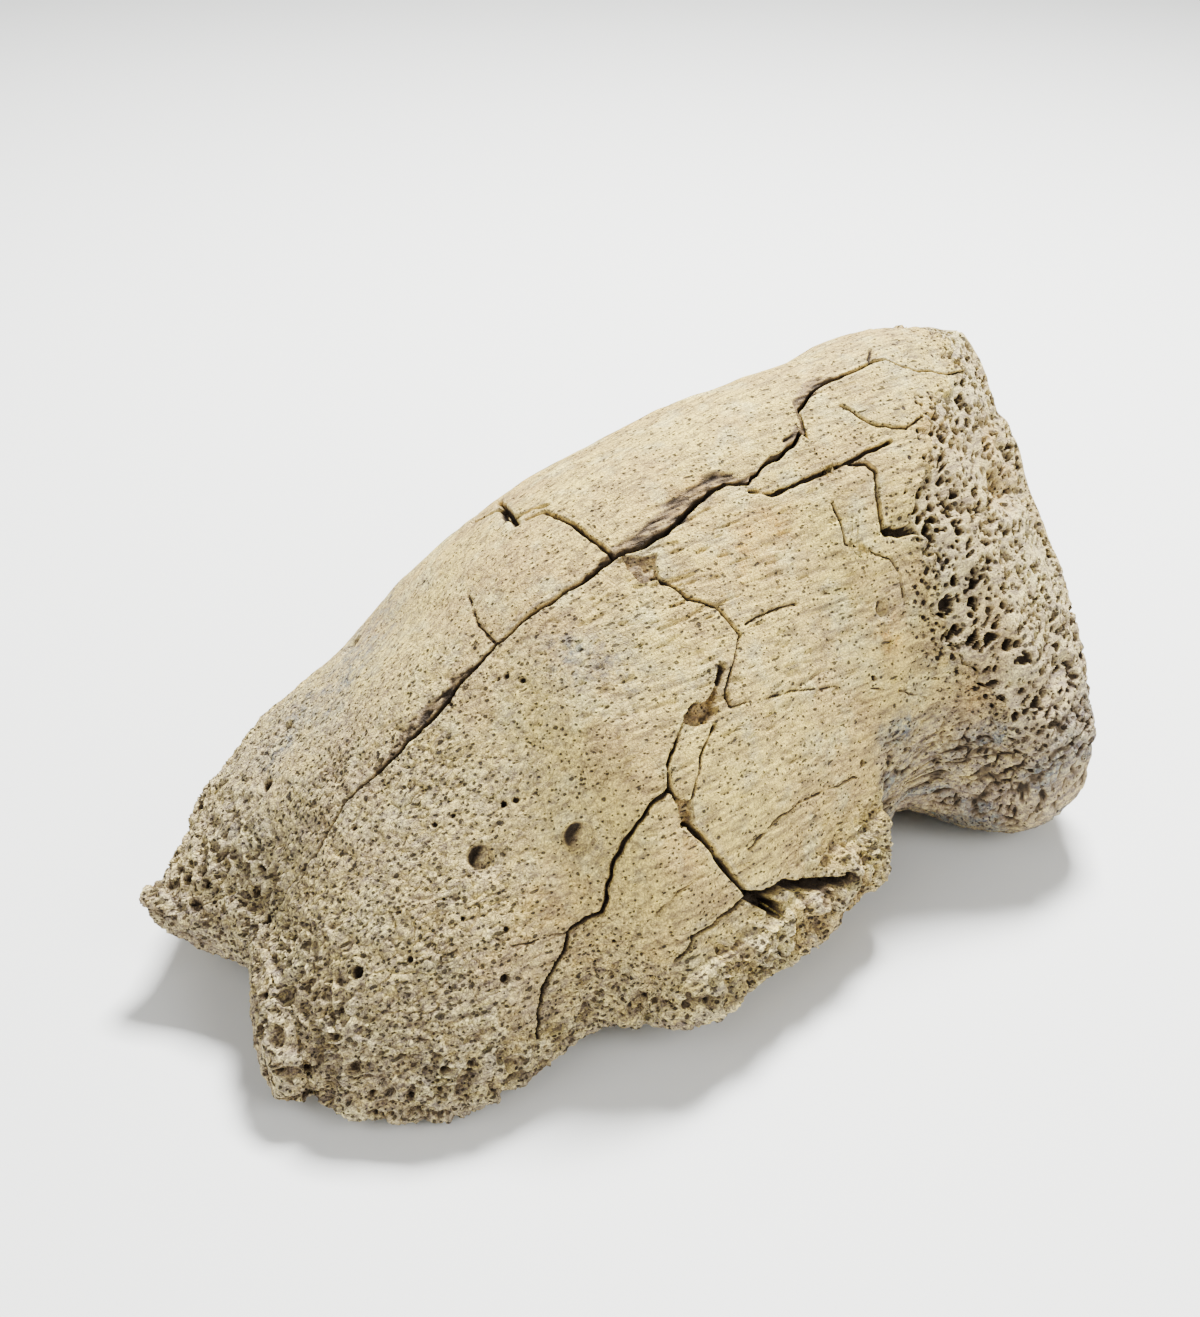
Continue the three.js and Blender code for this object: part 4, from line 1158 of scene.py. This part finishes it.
@dataclass
class Fragment:
    """A part of the bone between two lines around it and two lines across it, closed to the core."""

    name: str
    columns: int
    rows: int = 320
    core_start: tuple[float, float, float] = (-44.0, 0.0, 9.0)
    core_end: tuple[float, float, float] = (30.0, 0.0, 16.0)

    def lines(self, form: BoneForm, seams: Seams) -> tuple[Array, Array, Array]:
        """Along, around and distance to the broken edge at each grid point, as each kind has them."""
        raise NotImplementedError

    def build(self, form: BoneForm, seams: Seams, relief: Relief) -> Piece:
        """Computes the grid, adds the relief, closes it to the core and makes the mesh."""
        along, around, to_edge = self.lines(form, seams)
        rows, columns = along.shape
        points, surface = relief.evaluate(along, around, np.zeros_like(along), to_edge)
        start, end = np.array(self.core_start), np.array(self.core_end)
        middle = np.clip(points.reshape(rows, columns, 3)[..., 0].mean(1), start[0], end[0])
        share = ((middle - start[0]) / (end[0] - start[0]))[:, None]
        core = start * (1 - share) + end * share
        index = np.arange(rows * columns).reshape(rows, columns)
        hubs = rows * columns + np.arange(rows)
        first = np.stack([index[1:, 0], hubs[1:], hubs[:-1], index[:-1, 0]], -1)
        last = np.stack([index[:-1, -1], hubs[:-1], hubs[1:], index[1:, -1]], -1)
        quads = np.concatenate([grid_quads(rows, columns), first, last])
        ends = np.concatenate([fan(index[0], hubs[0], True), fan(index[-1], hubs[-1], False)])
        return write_mesh(self.name, np.concatenate([points, core]), quads, ends, surface)


@dataclass
class Flank(Fragment):
    """The dense outer bone of one flank, before or behind the break across it."""

    side: Side = Side.NEAR
    part: Part = Part.TIP
    crowding: float = 1.25

    def lines(self, form: BoneForm, seams: Seams) -> tuple[Array, Array, Array]:
        """Columns crowd towards the crack as a power of their count, and rows spread evenly."""
        share = np.linspace(0.0, 1.0, self.columns)[None] ** self.crowding
        if self.side is Side.FAR:
            share = share[:, ::-1]
        step = np.linspace(0.0, 1.0, self.rows)[:, None]
        edge, broken = seams.edge(self.side, share), seams.broken(self.side, share)
        start, stop = (form.start, broken) if self.part is Part.TIP else (broken, edge)
        along = start + (stop - start) * step
        crack = seams.crack(along)
        margin = 0.5 if self.side is Side.NEAR else 0.0
        return along, crack + (margin - crack) * share, edge - along


@dataclass
class Sole(Fragment):
    """The underside, from margin to margin, with rows that meet both flanks' rows."""

    far_from_edge: float = 99.0

    def lines(self, form: BoneForm, seams: Seams) -> tuple[Array, Array, Array]:
        """Columns spread evenly, and so do rows before and behind the line between the flanks' breaks."""
        share = np.linspace(0.0, 1.0, self.columns)[None]
        end = seams.margin_edge - form.tip_x
        near, far = (float(seams.broken(side, np.array(1.0))) for side in Side)
        broken = near + (far - near) * share
        half = (self.rows + 1) // 2
        step = np.linspace(0.0, 1.0, half)[:, None]
        before, behind = form.start + (broken - form.start) * step, broken + (end - broken) * step
        along = np.concatenate([before, behind[1:]])
        return along, np.broadcast_to(0.5 + 0.5 * share, along.shape), np.full_like(along, self.far_from_edge)


@dataclass
class JointRim:
    """The spongy rim, from under the dense bone's broken edge to the crest of the rim."""

    name: str
    around: tuple[Fragment, ...]
    rows: int = 154
    tuck: float = 1.0
    tuck_share: float = 0.04
    hub: tuple[float, float, float] = (42.0, 0.0, 20.0)
    skin_end: float = 6.0

    def border(self, form: BoneForm, seams: Seams) -> tuple[Array, Array]:
        """Along and around of the fragments' last rows, all the way around."""
        lines = [part.lines(form, seams)[:2] for part in self.around]
        along, around = (np.concatenate([each[-1, :-1] for each in kind]) for kind in zip(*lines))
        return along, around

    def lines(self, form: BoneForm, seams: Seams) -> tuple[Array, Array, Array]:
        """A row tucked under the dense bone, then rows spread evenly from its edge to the rim's crest."""
        edge, around = self.border(form, seams)
        step = np.linspace(0.0, 1.0, self.rows)[:, None]
        crest = form.body + form.lip_length
        along = np.concatenate([edge[None] - self.tuck, edge + (crest - edge) * step])
        return along, np.broadcast_to(around, along.shape), np.zeros_like(along)

    def bareness(self, form: BoneForm, relief: Relief, along: Array, around: Array) -> Array:
        """1 where the spongy bone is bare: above the side walls and all over the rim and face."""
        place, _ = form.at(along, around)
        low, high = relief.spongy_floor - 5, relief.spongy_floor + 6
        bare = smooth_step(low, high, place[..., 2] + 2.0 * noise(place, 4.0, 151))
        bare = np.maximum(bare, smooth_step(form.body - 2, form.body + 5, along))
        return np.where((around > 0.5) & (along < form.body - self.skin_end), 0.0, bare)

    def build(self, form: BoneForm, seams: Seams, relief: Relief) -> Piece:
        """Rings that meet the fragments point for point, closed to a hub inside."""
        along, around, to_edge = self.lines(form, seams)
        bare = self.bareness(form, relief, along, around)
        points, surface = relief.evaluate(along, around, bare, to_edge)
        rows, columns = along.shape
        points = points.reshape(rows, columns, 3)
        points[0] += (np.array(self.hub) - points[0]) * self.tuck_share
        return self.close(points, surface)

    def close(self, points: Array, surface: Surface) -> Piece:
        """Closes both end rings to hubs and makes the mesh."""
        rows, columns = points.shape[:2]
        core = np.array([self.hub, self.last_hub(points)])
        index = np.arange(rows * columns).reshape(rows, columns)
        closed = np.concatenate([index, index[:, :1]], axis=1)
        hub = rows * columns
        ends = np.concatenate([fan(closed[0], hub, True), fan(closed[-1], hub + 1, False)])
        everything = np.concatenate([points.reshape(-1, 3), core])
        return write_mesh(self.name, everything, grid_quads(rows, columns, True), ends, surface)

    def last_hub(self, points: Array) -> Array:
        """Where the last ring closes: deep inside, behind the face."""
        return np.array(self.hub) + (2.0, 0.0, 0.0)


@dataclass
class JointFace(JointRim):
    """The spongy dish of the joint face, from the rim's crest to its middle."""

    rows: int = 122
    last_ring: float = 0.4

    def lines(self, form: BoneForm, seams: Seams) -> tuple[Array, Array, Array]:
        """Rows spread evenly from the rim's crest to a small ring around the middle."""
        _, around = self.border(form, seams)
        step = np.linspace(0.0, 1.0, self.rows)[:, None]
        crest = form.body + form.lip_length
        last = form.end - self.last_ring
        along = np.broadcast_to(crest + (last - crest) * step, (self.rows, len(around)))
        return along, np.broadcast_to(around, along.shape), np.zeros_like(along)

    def build(self, form: BoneForm, seams: Seams, relief: Relief) -> Piece:
        """Rings whose first meets the rim's last point for point."""
        along, around, to_edge = self.lines(form, seams)
        points, surface = relief.evaluate(along, around, np.ones_like(along), to_edge)
        return self.close(points.reshape(*along.shape, 3), surface)

    def last_hub(self, points: Array) -> Array:
        """The middle of the face."""
        return points[-1].mean(0)


class Board:
    """A node tree with short calls for the nodes that the finishes share."""

    def __init__(self, tree: Tree) -> None:
        """Keeps the tree."""
        self.tree = tree

    def node(self, kind: str, **settings: object) -> bpy.types.Node:
        """Adds a node. Settings that match a property set it."""
        made = self.tree.nodes.new(kind)
        for key, value in settings.items():
            setattr(made, key, value)
        return made

    def feed(self, socket: Socket, value: object) -> None:
        """Links an output to a socket, or sets the socket to a plain value."""
        if isinstance(value, Socket):
            self.tree.links.new(value, socket)
        else:
            socket.default_value = value

    def sum(self, kind: str, *values: object, clamp: bool = False) -> Socket:
        """A Math node of the named operation."""
        made = self.node("ShaderNodeMath", operation=kind, use_clamp=clamp)
        for socket, value in zip(made.inputs, values):
            self.feed(socket, value)
        return made.outputs[0]

    def ramp(self, value: object, low: object, high: object, start: float = 0.0, stop: float = 1.0) -> Socket:
        """A smooth Map Range from low..high to start..stop."""
        made = self.node("ShaderNodeMapRange", interpolation_type="SMOOTHSTEP")
        for socket, each in zip(made.inputs, (value, low, high, start, stop)):
            self.feed(socket, each)
        return made.outputs[0]

    def blend(self, factor: object, under: object, over: object, mode: str = "MIX") -> Socket:
        """A colour Mix node."""
        made = self.node("ShaderNodeMix", data_type="RGBA", blend_type=mode)
        for key, value in ((0, factor), (6, under), (7, over)):
            self.feed(made.inputs[key], value)
        return made.outputs[2]

    def noise(self, vector: object, scale: float, detail: float = 3.0, rough: float = 0.55) -> Socket:
        """A noise texture's height from 0 to 1."""
        made = self.node("ShaderNodeTexNoise")
        self.feed(made.inputs["Vector"], vector)
        made.inputs["Scale"].default_value = scale
        made.inputs["Detail"].default_value = detail
        made.inputs["Roughness"].default_value = rough
        return made.outputs["Fac"]

    def scaled(self, vector: object, scale: tuple[float, float, float]) -> Socket:
        """A Mapping node that stretches the pattern."""
        made = self.node("ShaderNodeMapping", vector_type="POINT")
        self.feed(made.inputs["Vector"], vector)
        made.inputs["Scale"].default_value = scale
        return made.outputs[0]

    def attribute(self, name: str) -> Socket:
        """One of the mesh's own numbers."""
        return self.node("ShaderNodeAttribute", attribute_name=name).outputs["Fac"]

    def group(self, tree: Tree, **values: object) -> dict[str, Socket]:
        """Places a node group with its own values and returns its outputs by name."""
        made = self.node("ShaderNodeGroup", node_tree=tree)
        for key, value in values.items():
            self.feed(made.inputs[key.replace("_", " ").capitalize()], value)
        return {socket.name: socket for socket in made.outputs}


def new_group(name: str, inputs: dict[str, tuple[str, object]], outputs: tuple[str, ...]) -> Tree:
    """Makes a shader node group with named sockets.

    Args:
        name: the group's name.
        inputs: socket kind and default by name.
        outputs: names of the number outputs.

    Returns:
        The empty group.
    """
    tree = bpy.data.node_groups.new(name, "ShaderNodeTree")
    for key, (kind, default) in inputs.items():
        socket = tree.interface.new_socket(key, in_out="INPUT", socket_type=kind)
        if default is not None:
            socket.default_value = default
    for key in outputs:
        tree.interface.new_socket(key, in_out="OUTPUT", socket_type="NodeSocketFloat")
    return tree


class PoreGroup:
    """Vessel pores: round holes at scattered seeds, of which only a share is open."""

    def build(self) -> Tree:
        """Makes the group: a pore shows where the distance to an open seed is under its radius."""
        tree = new_group("vessel pores", {
            "Vector": ("NodeSocketVector", None), "Scale": ("NodeSocketFloat", 900.0),
            "Radius": ("NodeSocketFloat", 0.25), "Share": ("NodeSocketFloat", 0.5),
        }, ("Mask",))
        board = Board(tree)
        start, stop = board.node("NodeGroupInput"), board.node("NodeGroupOutput")
        scatter = board.node("ShaderNodeTexVoronoi", voronoi_dimensions="3D", feature="F1")
        board.feed(scatter.inputs["Vector"], start.outputs["Vector"])
        board.feed(scatter.inputs["Scale"], start.outputs["Scale"])
        split = board.node("ShaderNodeSeparateColor")
        board.feed(split.inputs[0], scatter.outputs["Color"])
        spread = board.ramp(split.outputs[1], 0.0, 1.0, 0.55, 1.25)
        size = board.sum("MULTIPLY", start.outputs["Radius"], spread)
        open_seed = board.sum("LESS_THAN", split.outputs[0], start.outputs["Share"])
        round_hole = board.ramp(scatter.outputs["Distance"], size, board.sum("MULTIPLY", size, 0.6))
        board.feed(stop.inputs["Mask"], board.sum("MULTIPLY", round_hole, open_seed))
        return tree


class MottleGroup:
    """Uneven colour of old bone: a broad cloud and a fine speckle."""

    def build(self) -> Tree:
        """Makes the group from two noises, the fine one stretched along the bone."""
        tree = new_group("bone mottle", {
            "Vector": ("NodeSocketVector", None), "Broad": ("NodeSocketFloat", 90.0),
            "Fine": ("NodeSocketFloat", 1400.0),
        }, ("Cloud", "Speckle"))
        board = Board(tree)
        start, stop = board.node("NodeGroupInput"), board.node("NodeGroupOutput")
        for key, output, stretch in (("Broad", "Cloud", 1.0), ("Fine", "Speckle", 0.45)):
            made = board.node("ShaderNodeTexNoise")
            board.feed(made.inputs["Vector"], board.scaled(start.outputs["Vector"], (stretch, 1.0, 1.0)))
            board.feed(made.inputs["Scale"], start.outputs[key])
            made.inputs["Detail"].default_value = 4.0
            made.inputs["Roughness"].default_value = 0.6
            board.feed(stop.inputs[output], board.ramp(made.outputs["Fac"], 0.32, 0.68))
        return tree


@dataclass(frozen=True)
class BoneFinish:
    """Colours and grain of one kind of fossil bone. Colours are linear red, green and blue."""

    name: str
    cream: tuple = (0.88, 0.675, 0.165, 1.0)
    tan: tuple = (0.66, 0.465, 0.145, 1.0)
    straw: tuple = (0.94, 0.80, 0.30, 1.0)
    blue_grey: tuple = (0.24, 0.27, 0.24, 1.0)
    rust: tuple = (0.74, 0.40, 0.05, 1.0)
    # Brown-grey, for dirt and for painted shade alike.
    grime_and_shade: tuple = (0.43, 0.345, 0.225, 1.0)
    # Painted shade: the brown that shallow recesses are darkened to.
    hollow_shade_brown: tuple = (0.23, 0.155, 0.08, 1.0)
    # Painted shadow: the near-black of deep recesses, pores and cracks.
    fill: tuple = (0.022, 0.013, 0.006, 1.0)
    # Pale wear, and painted highlight on raised points.
    pale_wear_and_highlight: tuple = (0.90, 0.77, 0.38, 1.0)
    pores: tuple = ((0.7, 2000.0, 0.31, 0.88), (0.8, 1200.0, 0.27, 0.45), (0.22, 1050.0, 0.19, 0.42))
    pore_drift: tuple = (500.0, 0.0007)
    winding_sizes: tuple = ((1300.0, 0.055), (2600.0, 0.05))
    shares: dict = field(default_factory=lambda: {
        "grime_and_shade": 0.85, "blue": 0.95, "rust": 0.95, "worn": 0.7, "pore": 0.9,
    })
    bumps: tuple = (-0.30, -0.30, 0.30, 0.12)
    roughness: float = 0.86
    roughness_spread: float = 0.06
    specular: float = 0.3

    def build(self, pores: Tree, mottle: Tree) -> bpy.types.Material:
        """Makes the material.

        Args:
            pores: the vessel pore group.
            mottle: the mottle group.

        Returns:
            A material that reads Object coordinates and the mesh's own finish numbers.
        """
        material = bpy.data.materials.new(self.name)
        material.use_nodes = True
        board = Board(material.node_tree)
        shader = material.node_tree.nodes["Principled BSDF"]
        where = board.node("ShaderNodeTexCoord").outputs["Object"]
        marks = {key: board.attribute(key) for key in Surface.NAMES}
        tone = board.group(mottle, vector=where, broad=85.0, fine=1700.0)
        pore = self._pores(board, pores, where, marks["open_bone"])
        grain = board.noise(board.scaled(where, (0.14, 1.0, 1.0)), 1700.0, 4.0, 0.62)
        dust = board.noise(where, 4200.0, 3.0, 0.6)
        worm = self._winding(board, where)
        grooves = board.sum("MULTIPLY", worm, board.ramp(marks["open_bone"], 0.0, 1.0, 0.24, 0.46))
        colour = self._stained(board, where, marks, tone)
        # Grain, dust and speckle tone, with painted shade in the winding grooves.
        tone_and_groove_shade = board.ramp(grain, 0.34, 0.6, 0.5, 1.12)
        tone_and_groove_shade = board.sum("MULTIPLY", tone_and_groove_shade, board.ramp(dust, 0.36, 0.62, 0.68, 1.12))
        tone_and_groove_shade = board.sum("MULTIPLY", tone_and_groove_shade, board.ramp(tone["Speckle"], 0.0, 1.0, 0.84, 1.06))
        tone_and_groove_shade = board.sum("MULTIPLY", tone_and_groove_shade, board.sum("SUBTRACT", 1.0, grooves))
        colour = board.blend(1.0, colour, self._darkening(board, tone_and_groove_shade), "MULTIPLY")
        # Painted shadow inside the pores, then painted shade and painted shadow in the recesses that hollow
        # marks.
        colour = board.blend(board.sum("MULTIPLY", pore, self.shares["pore"]), colour, self.fill)
        colour = board.blend(board.ramp(marks["hollow"], 0.12, 0.6, 0.0, 0.8), colour, self.hollow_shade_brown)
        colour = board.blend(board.ramp(marks["hollow"], 0.22, 0.78, 0.0, 0.97), colour, self.fill)
        board.feed(shader.inputs["Base Color"], colour)
        low, high = self.roughness - self.roughness_spread, self.roughness + self.roughness_spread
        board.feed(shader.inputs["Roughness"], board.ramp(tone["Cloud"], 0.0, 1.0, low, high))
        shader.inputs["Specular IOR Level"].default_value = self.specular
        board.feed(shader.inputs["Normal"], self._bump(board, pore, grooves, grain, dust))
        return material

    def _stained(self, board: Board, where: Socket, marks: dict, tone: dict) -> Socket:
        """The bone's own cream and tan with straw patches, then grime together with painted shade, stains in
        patches, and worn spots with painted highlight on raised points.
        """
        colour = board.blend(tone["Cloud"], self.cream, self.tan)
        straw = board.ramp(board.noise(where, 240.0, 3.0), 0.48, 0.72, 0.0, 0.75)
        colour = board.blend(straw, colour, self.straw)
        clean = board.ramp(tone["Speckle"], 0.0, 1.0, 1.0, 0.55)
        patch = board.ramp(board.noise(where, 1100.0, 4.0, 0.65), 0.4, 0.62, 0.35, 1.0)
        layers = {
            "grime_and_shade": (clean, self.grime_and_shade), "blue": (patch, self.blue_grey), "rust": (patch, self.rust),
            "worn": (1.0, self.pale_wear_and_highlight),
        }
        for key, (broken_up, tint) in layers.items():
            amount = board.sum("MULTIPLY", marks[key], broken_up)
            colour = board.blend(board.sum("MULTIPLY", amount, self.shares[key], clamp=True), colour, tint)
        return colour

    def _pores(self, board: Board, pores: Tree, where: Socket, rough: Socket) -> Socket:
        """Vessel pores of each kind in turn: stretch along the bone, seeds a metre, radius and open share."""
        scale, push = self.pore_drift
        wander = board.node("ShaderNodeTexNoise")
        board.feed(wander.inputs["Vector"], where)
        wander.inputs["Scale"].default_value = scale
        warped = board.node("ShaderNodeVectorMath", operation="MULTIPLY_ADD")
        board.feed(warped.inputs[0], wander.outputs["Color"])
        warped.inputs[1].default_value = (push, push, push)
        board.feed(warped.inputs[2], where)
        more = board.ramp(rough, 0.0, 1.0, 0.9, 1.3)
        found = None
        for stretch, scale, radius, share in self.pores:
            vector = board.scaled(warped.outputs[0], (stretch, 1.0, 1.0))
            size = board.sum("MULTIPLY", more, radius)
            mask = board.group(pores, vector=vector, scale=scale, radius=size, share=share)["Mask"]
            found = mask if found is None else board.sum("MAXIMUM", found, mask)
        return found

    def _winding(self, board: Board, where: Socket) -> Socket:
        """Fine winding grooves: the lines where a noise passes its middle, in two sizes."""
        found = None
        for scale, width in self.winding_sizes:
            height = board.noise(where, scale, 1.0)
            line = board.ramp(board.sum("ABSOLUTE", board.sum("SUBTRACT", height, 0.5)), width, 0.0)
            found = line if found is None else board.sum("MAXIMUM", found, line)
        return found

    def _darkening(self, board: Board, value: Socket) -> Socket:
        """A darkening number as a colour that keeps more blue, so dark bone turns brown and not olive."""
        made = board.node("ShaderNodeCombineColor")
        for socket, power in zip(made.inputs, (1.0, 1.04, 0.7)):
            board.feed(socket, board.sum("POWER", value, power))
        return made.outputs[0]

    def _bump(self, board: Board, *layers: Socket) -> Socket:
        """Fine relief in millimetres: pores and winding grooves sink, grain and dust stand up."""
        height = 0.0
        for layer, strength in zip(layers, self.bumps):
            height = board.sum("MULTIPLY_ADD", layer, strength, height)
        made = board.node("ShaderNodeBump")
        made.inputs["Strength"].default_value = 1.0
        made.inputs["Distance"].default_value = METRES
        board.feed(made.inputs["Height"], height)
        return made.outputs[0]


@dataclass(frozen=True)
class Studio:
    """A plain pale floor and plain soft lights. A lamp is a name, a place, a size and a power."""

    floor_size: float = 3.0
    floor_colour: tuple = (0.80, 0.81, 0.79, 1.0)
    floor_roughness: float = 0.6
    lamps: tuple = (
        ("key", (0.22, 0.16, 0.52), 0.15, 16.5),
        ("fill", (-0.42, -0.10, 0.34), 0.45, 1.6),
        ("front", (0.10, -0.50, 0.40), 0.30, 2.4),
    )
    lamp_aim: tuple = (0.0, 0.0, 0.025)
    sky: float = 0.27

    def build(self) -> None:
        """Makes the floor, the lamps and the even sky."""
        half = self.floor_size / 2
        mesh = bpy.data.meshes.new("floor")
        square = [(-half, -half, 0), (half, -half, 0), (half, half, 0), (-half, half, 0)]
        mesh.from_pydata(square, [], [(0, 1, 2, 3)])
        floor = bpy.data.objects.new("floor", mesh)
        bpy.context.scene.collection.objects.link(floor)
        material = bpy.data.materials.new("floor")
        material.use_nodes = True
        shader = material.node_tree.nodes["Principled BSDF"]
        shader.inputs["Base Color"].default_value = self.floor_colour
        shader.inputs["Roughness"].default_value = self.floor_roughness
        mesh.materials.append(material)
        for lamp in self.lamps:
            self._lamp(*lamp)
        world = bpy.data.worlds.new("sky")
        world.use_nodes = True
        background = world.node_tree.nodes["Background"]
        background.inputs["Color"].default_value = (1.0, 1.0, 1.0, 1.0)
        background.inputs["Strength"].default_value = self.sky
        bpy.context.scene.world = world

    def _lamp(self, name: str, place: tuple[float, float, float], size: float, power: float) -> None:
        """A square soft lamp that faces the bone."""
        data = bpy.data.lights.new(name, "AREA")
        data.shape, data.size, data.energy = "SQUARE", size, power
        lamp = bpy.data.objects.new(name, data)
        lamp.location = place
        lamp.rotation_euler = (Vector(self.lamp_aim) - Vector(place)).to_track_quat("-Z", "Y").to_euler()
        bpy.context.scene.collection.objects.link(lamp)


@dataclass
class ToeBone:
    """The whole fossil: seven pieces that meet along its cracks, its broken edge and its margins."""

    view: PhotoView
    damage: Damage = field(default_factory=Damage)
    near_columns: int = 300
    far_columns: int = 230
    sole_columns: int = 110
    sole_rows: int = 639
    spongy_colours: dict = field(default_factory=lambda: {
        "cream": (0.86, 0.69, 0.27, 1.0), "tan": (0.68, 0.50, 0.17, 1.0),
    })
    spongy_pores: tuple = ((0.75, 1050.0, 0.35, 0.72), (0.8, 1950.0, 0.31, 0.6))
    sole_cream: tuple = (0.62, 0.46, 0.20, 1.0)

    def build(self) -> None:
        """Builds the pieces, dresses them and says what each rides on."""
        form = BoneForm()
        seams = Seams(form, self.view, self.damage)
        relief = Relief(form, self.view, self.damage, seams)
        near_tip = Flank("near_tip", self.near_columns, side=Side.NEAR, part=Part.TIP)
        near_joint = Flank("near_flank", self.near_columns, side=Side.NEAR, part=Part.JOINT)
        far_tip = Flank("far_tip", self.far_columns, side=Side.FAR, part=Part.TIP)
        far_joint = Flank("far_flank", self.far_columns, side=Side.FAR, part=Part.JOINT)
        sole = Sole("sole", self.sole_columns, rows=self.sole_rows)
        around = (far_joint, near_joint, sole)
        rim, face = JointRim("joint_rim", around), JointFace("joint_face", around)
        pores, mottle = PoreGroup().build(), MottleGroup().build()
        dense = BoneFinish("dense_bone").build(pores, mottle)
        spongy = BoneFinish("spongy_bone", pores=self.spongy_pores, **self.spongy_colours)
        spongy = spongy.build(pores, mottle)
        worn = BoneFinish("worn_sole", cream=self.sole_cream).build(pores, mottle)
        finishes = (near_tip, dense), (near_joint, dense), (far_tip, dense), (far_joint, dense), (sole, worn)
        for part, material in (*finishes, (rim, spongy), (face, spongy)):
            piece = part.build(form, seams, relief)
            piece.data.materials.append(material)
            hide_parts(NODE)
            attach(piece, BODY)
            log.info("%s: %d faces", piece.name, len(piece.data.polygons))


def corners(box: tuple[Vector, Vector]) -> list[list[float]]:
    """A box's two corners as plain lists."""
    return [[float(value) for value in corner] for corner in box]


def main() -> None:
    """Loads the frame, builds the fossil and the studio."""
    logging.basicConfig(level=logging.INFO, format="%(message)s")
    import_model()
    view = PhotoView()
    view.make_camera()
    Studio().build()
    ToeBone(view).build()
    bpy.context.view_layer.update()


if __name__ == "__main__":
    main()
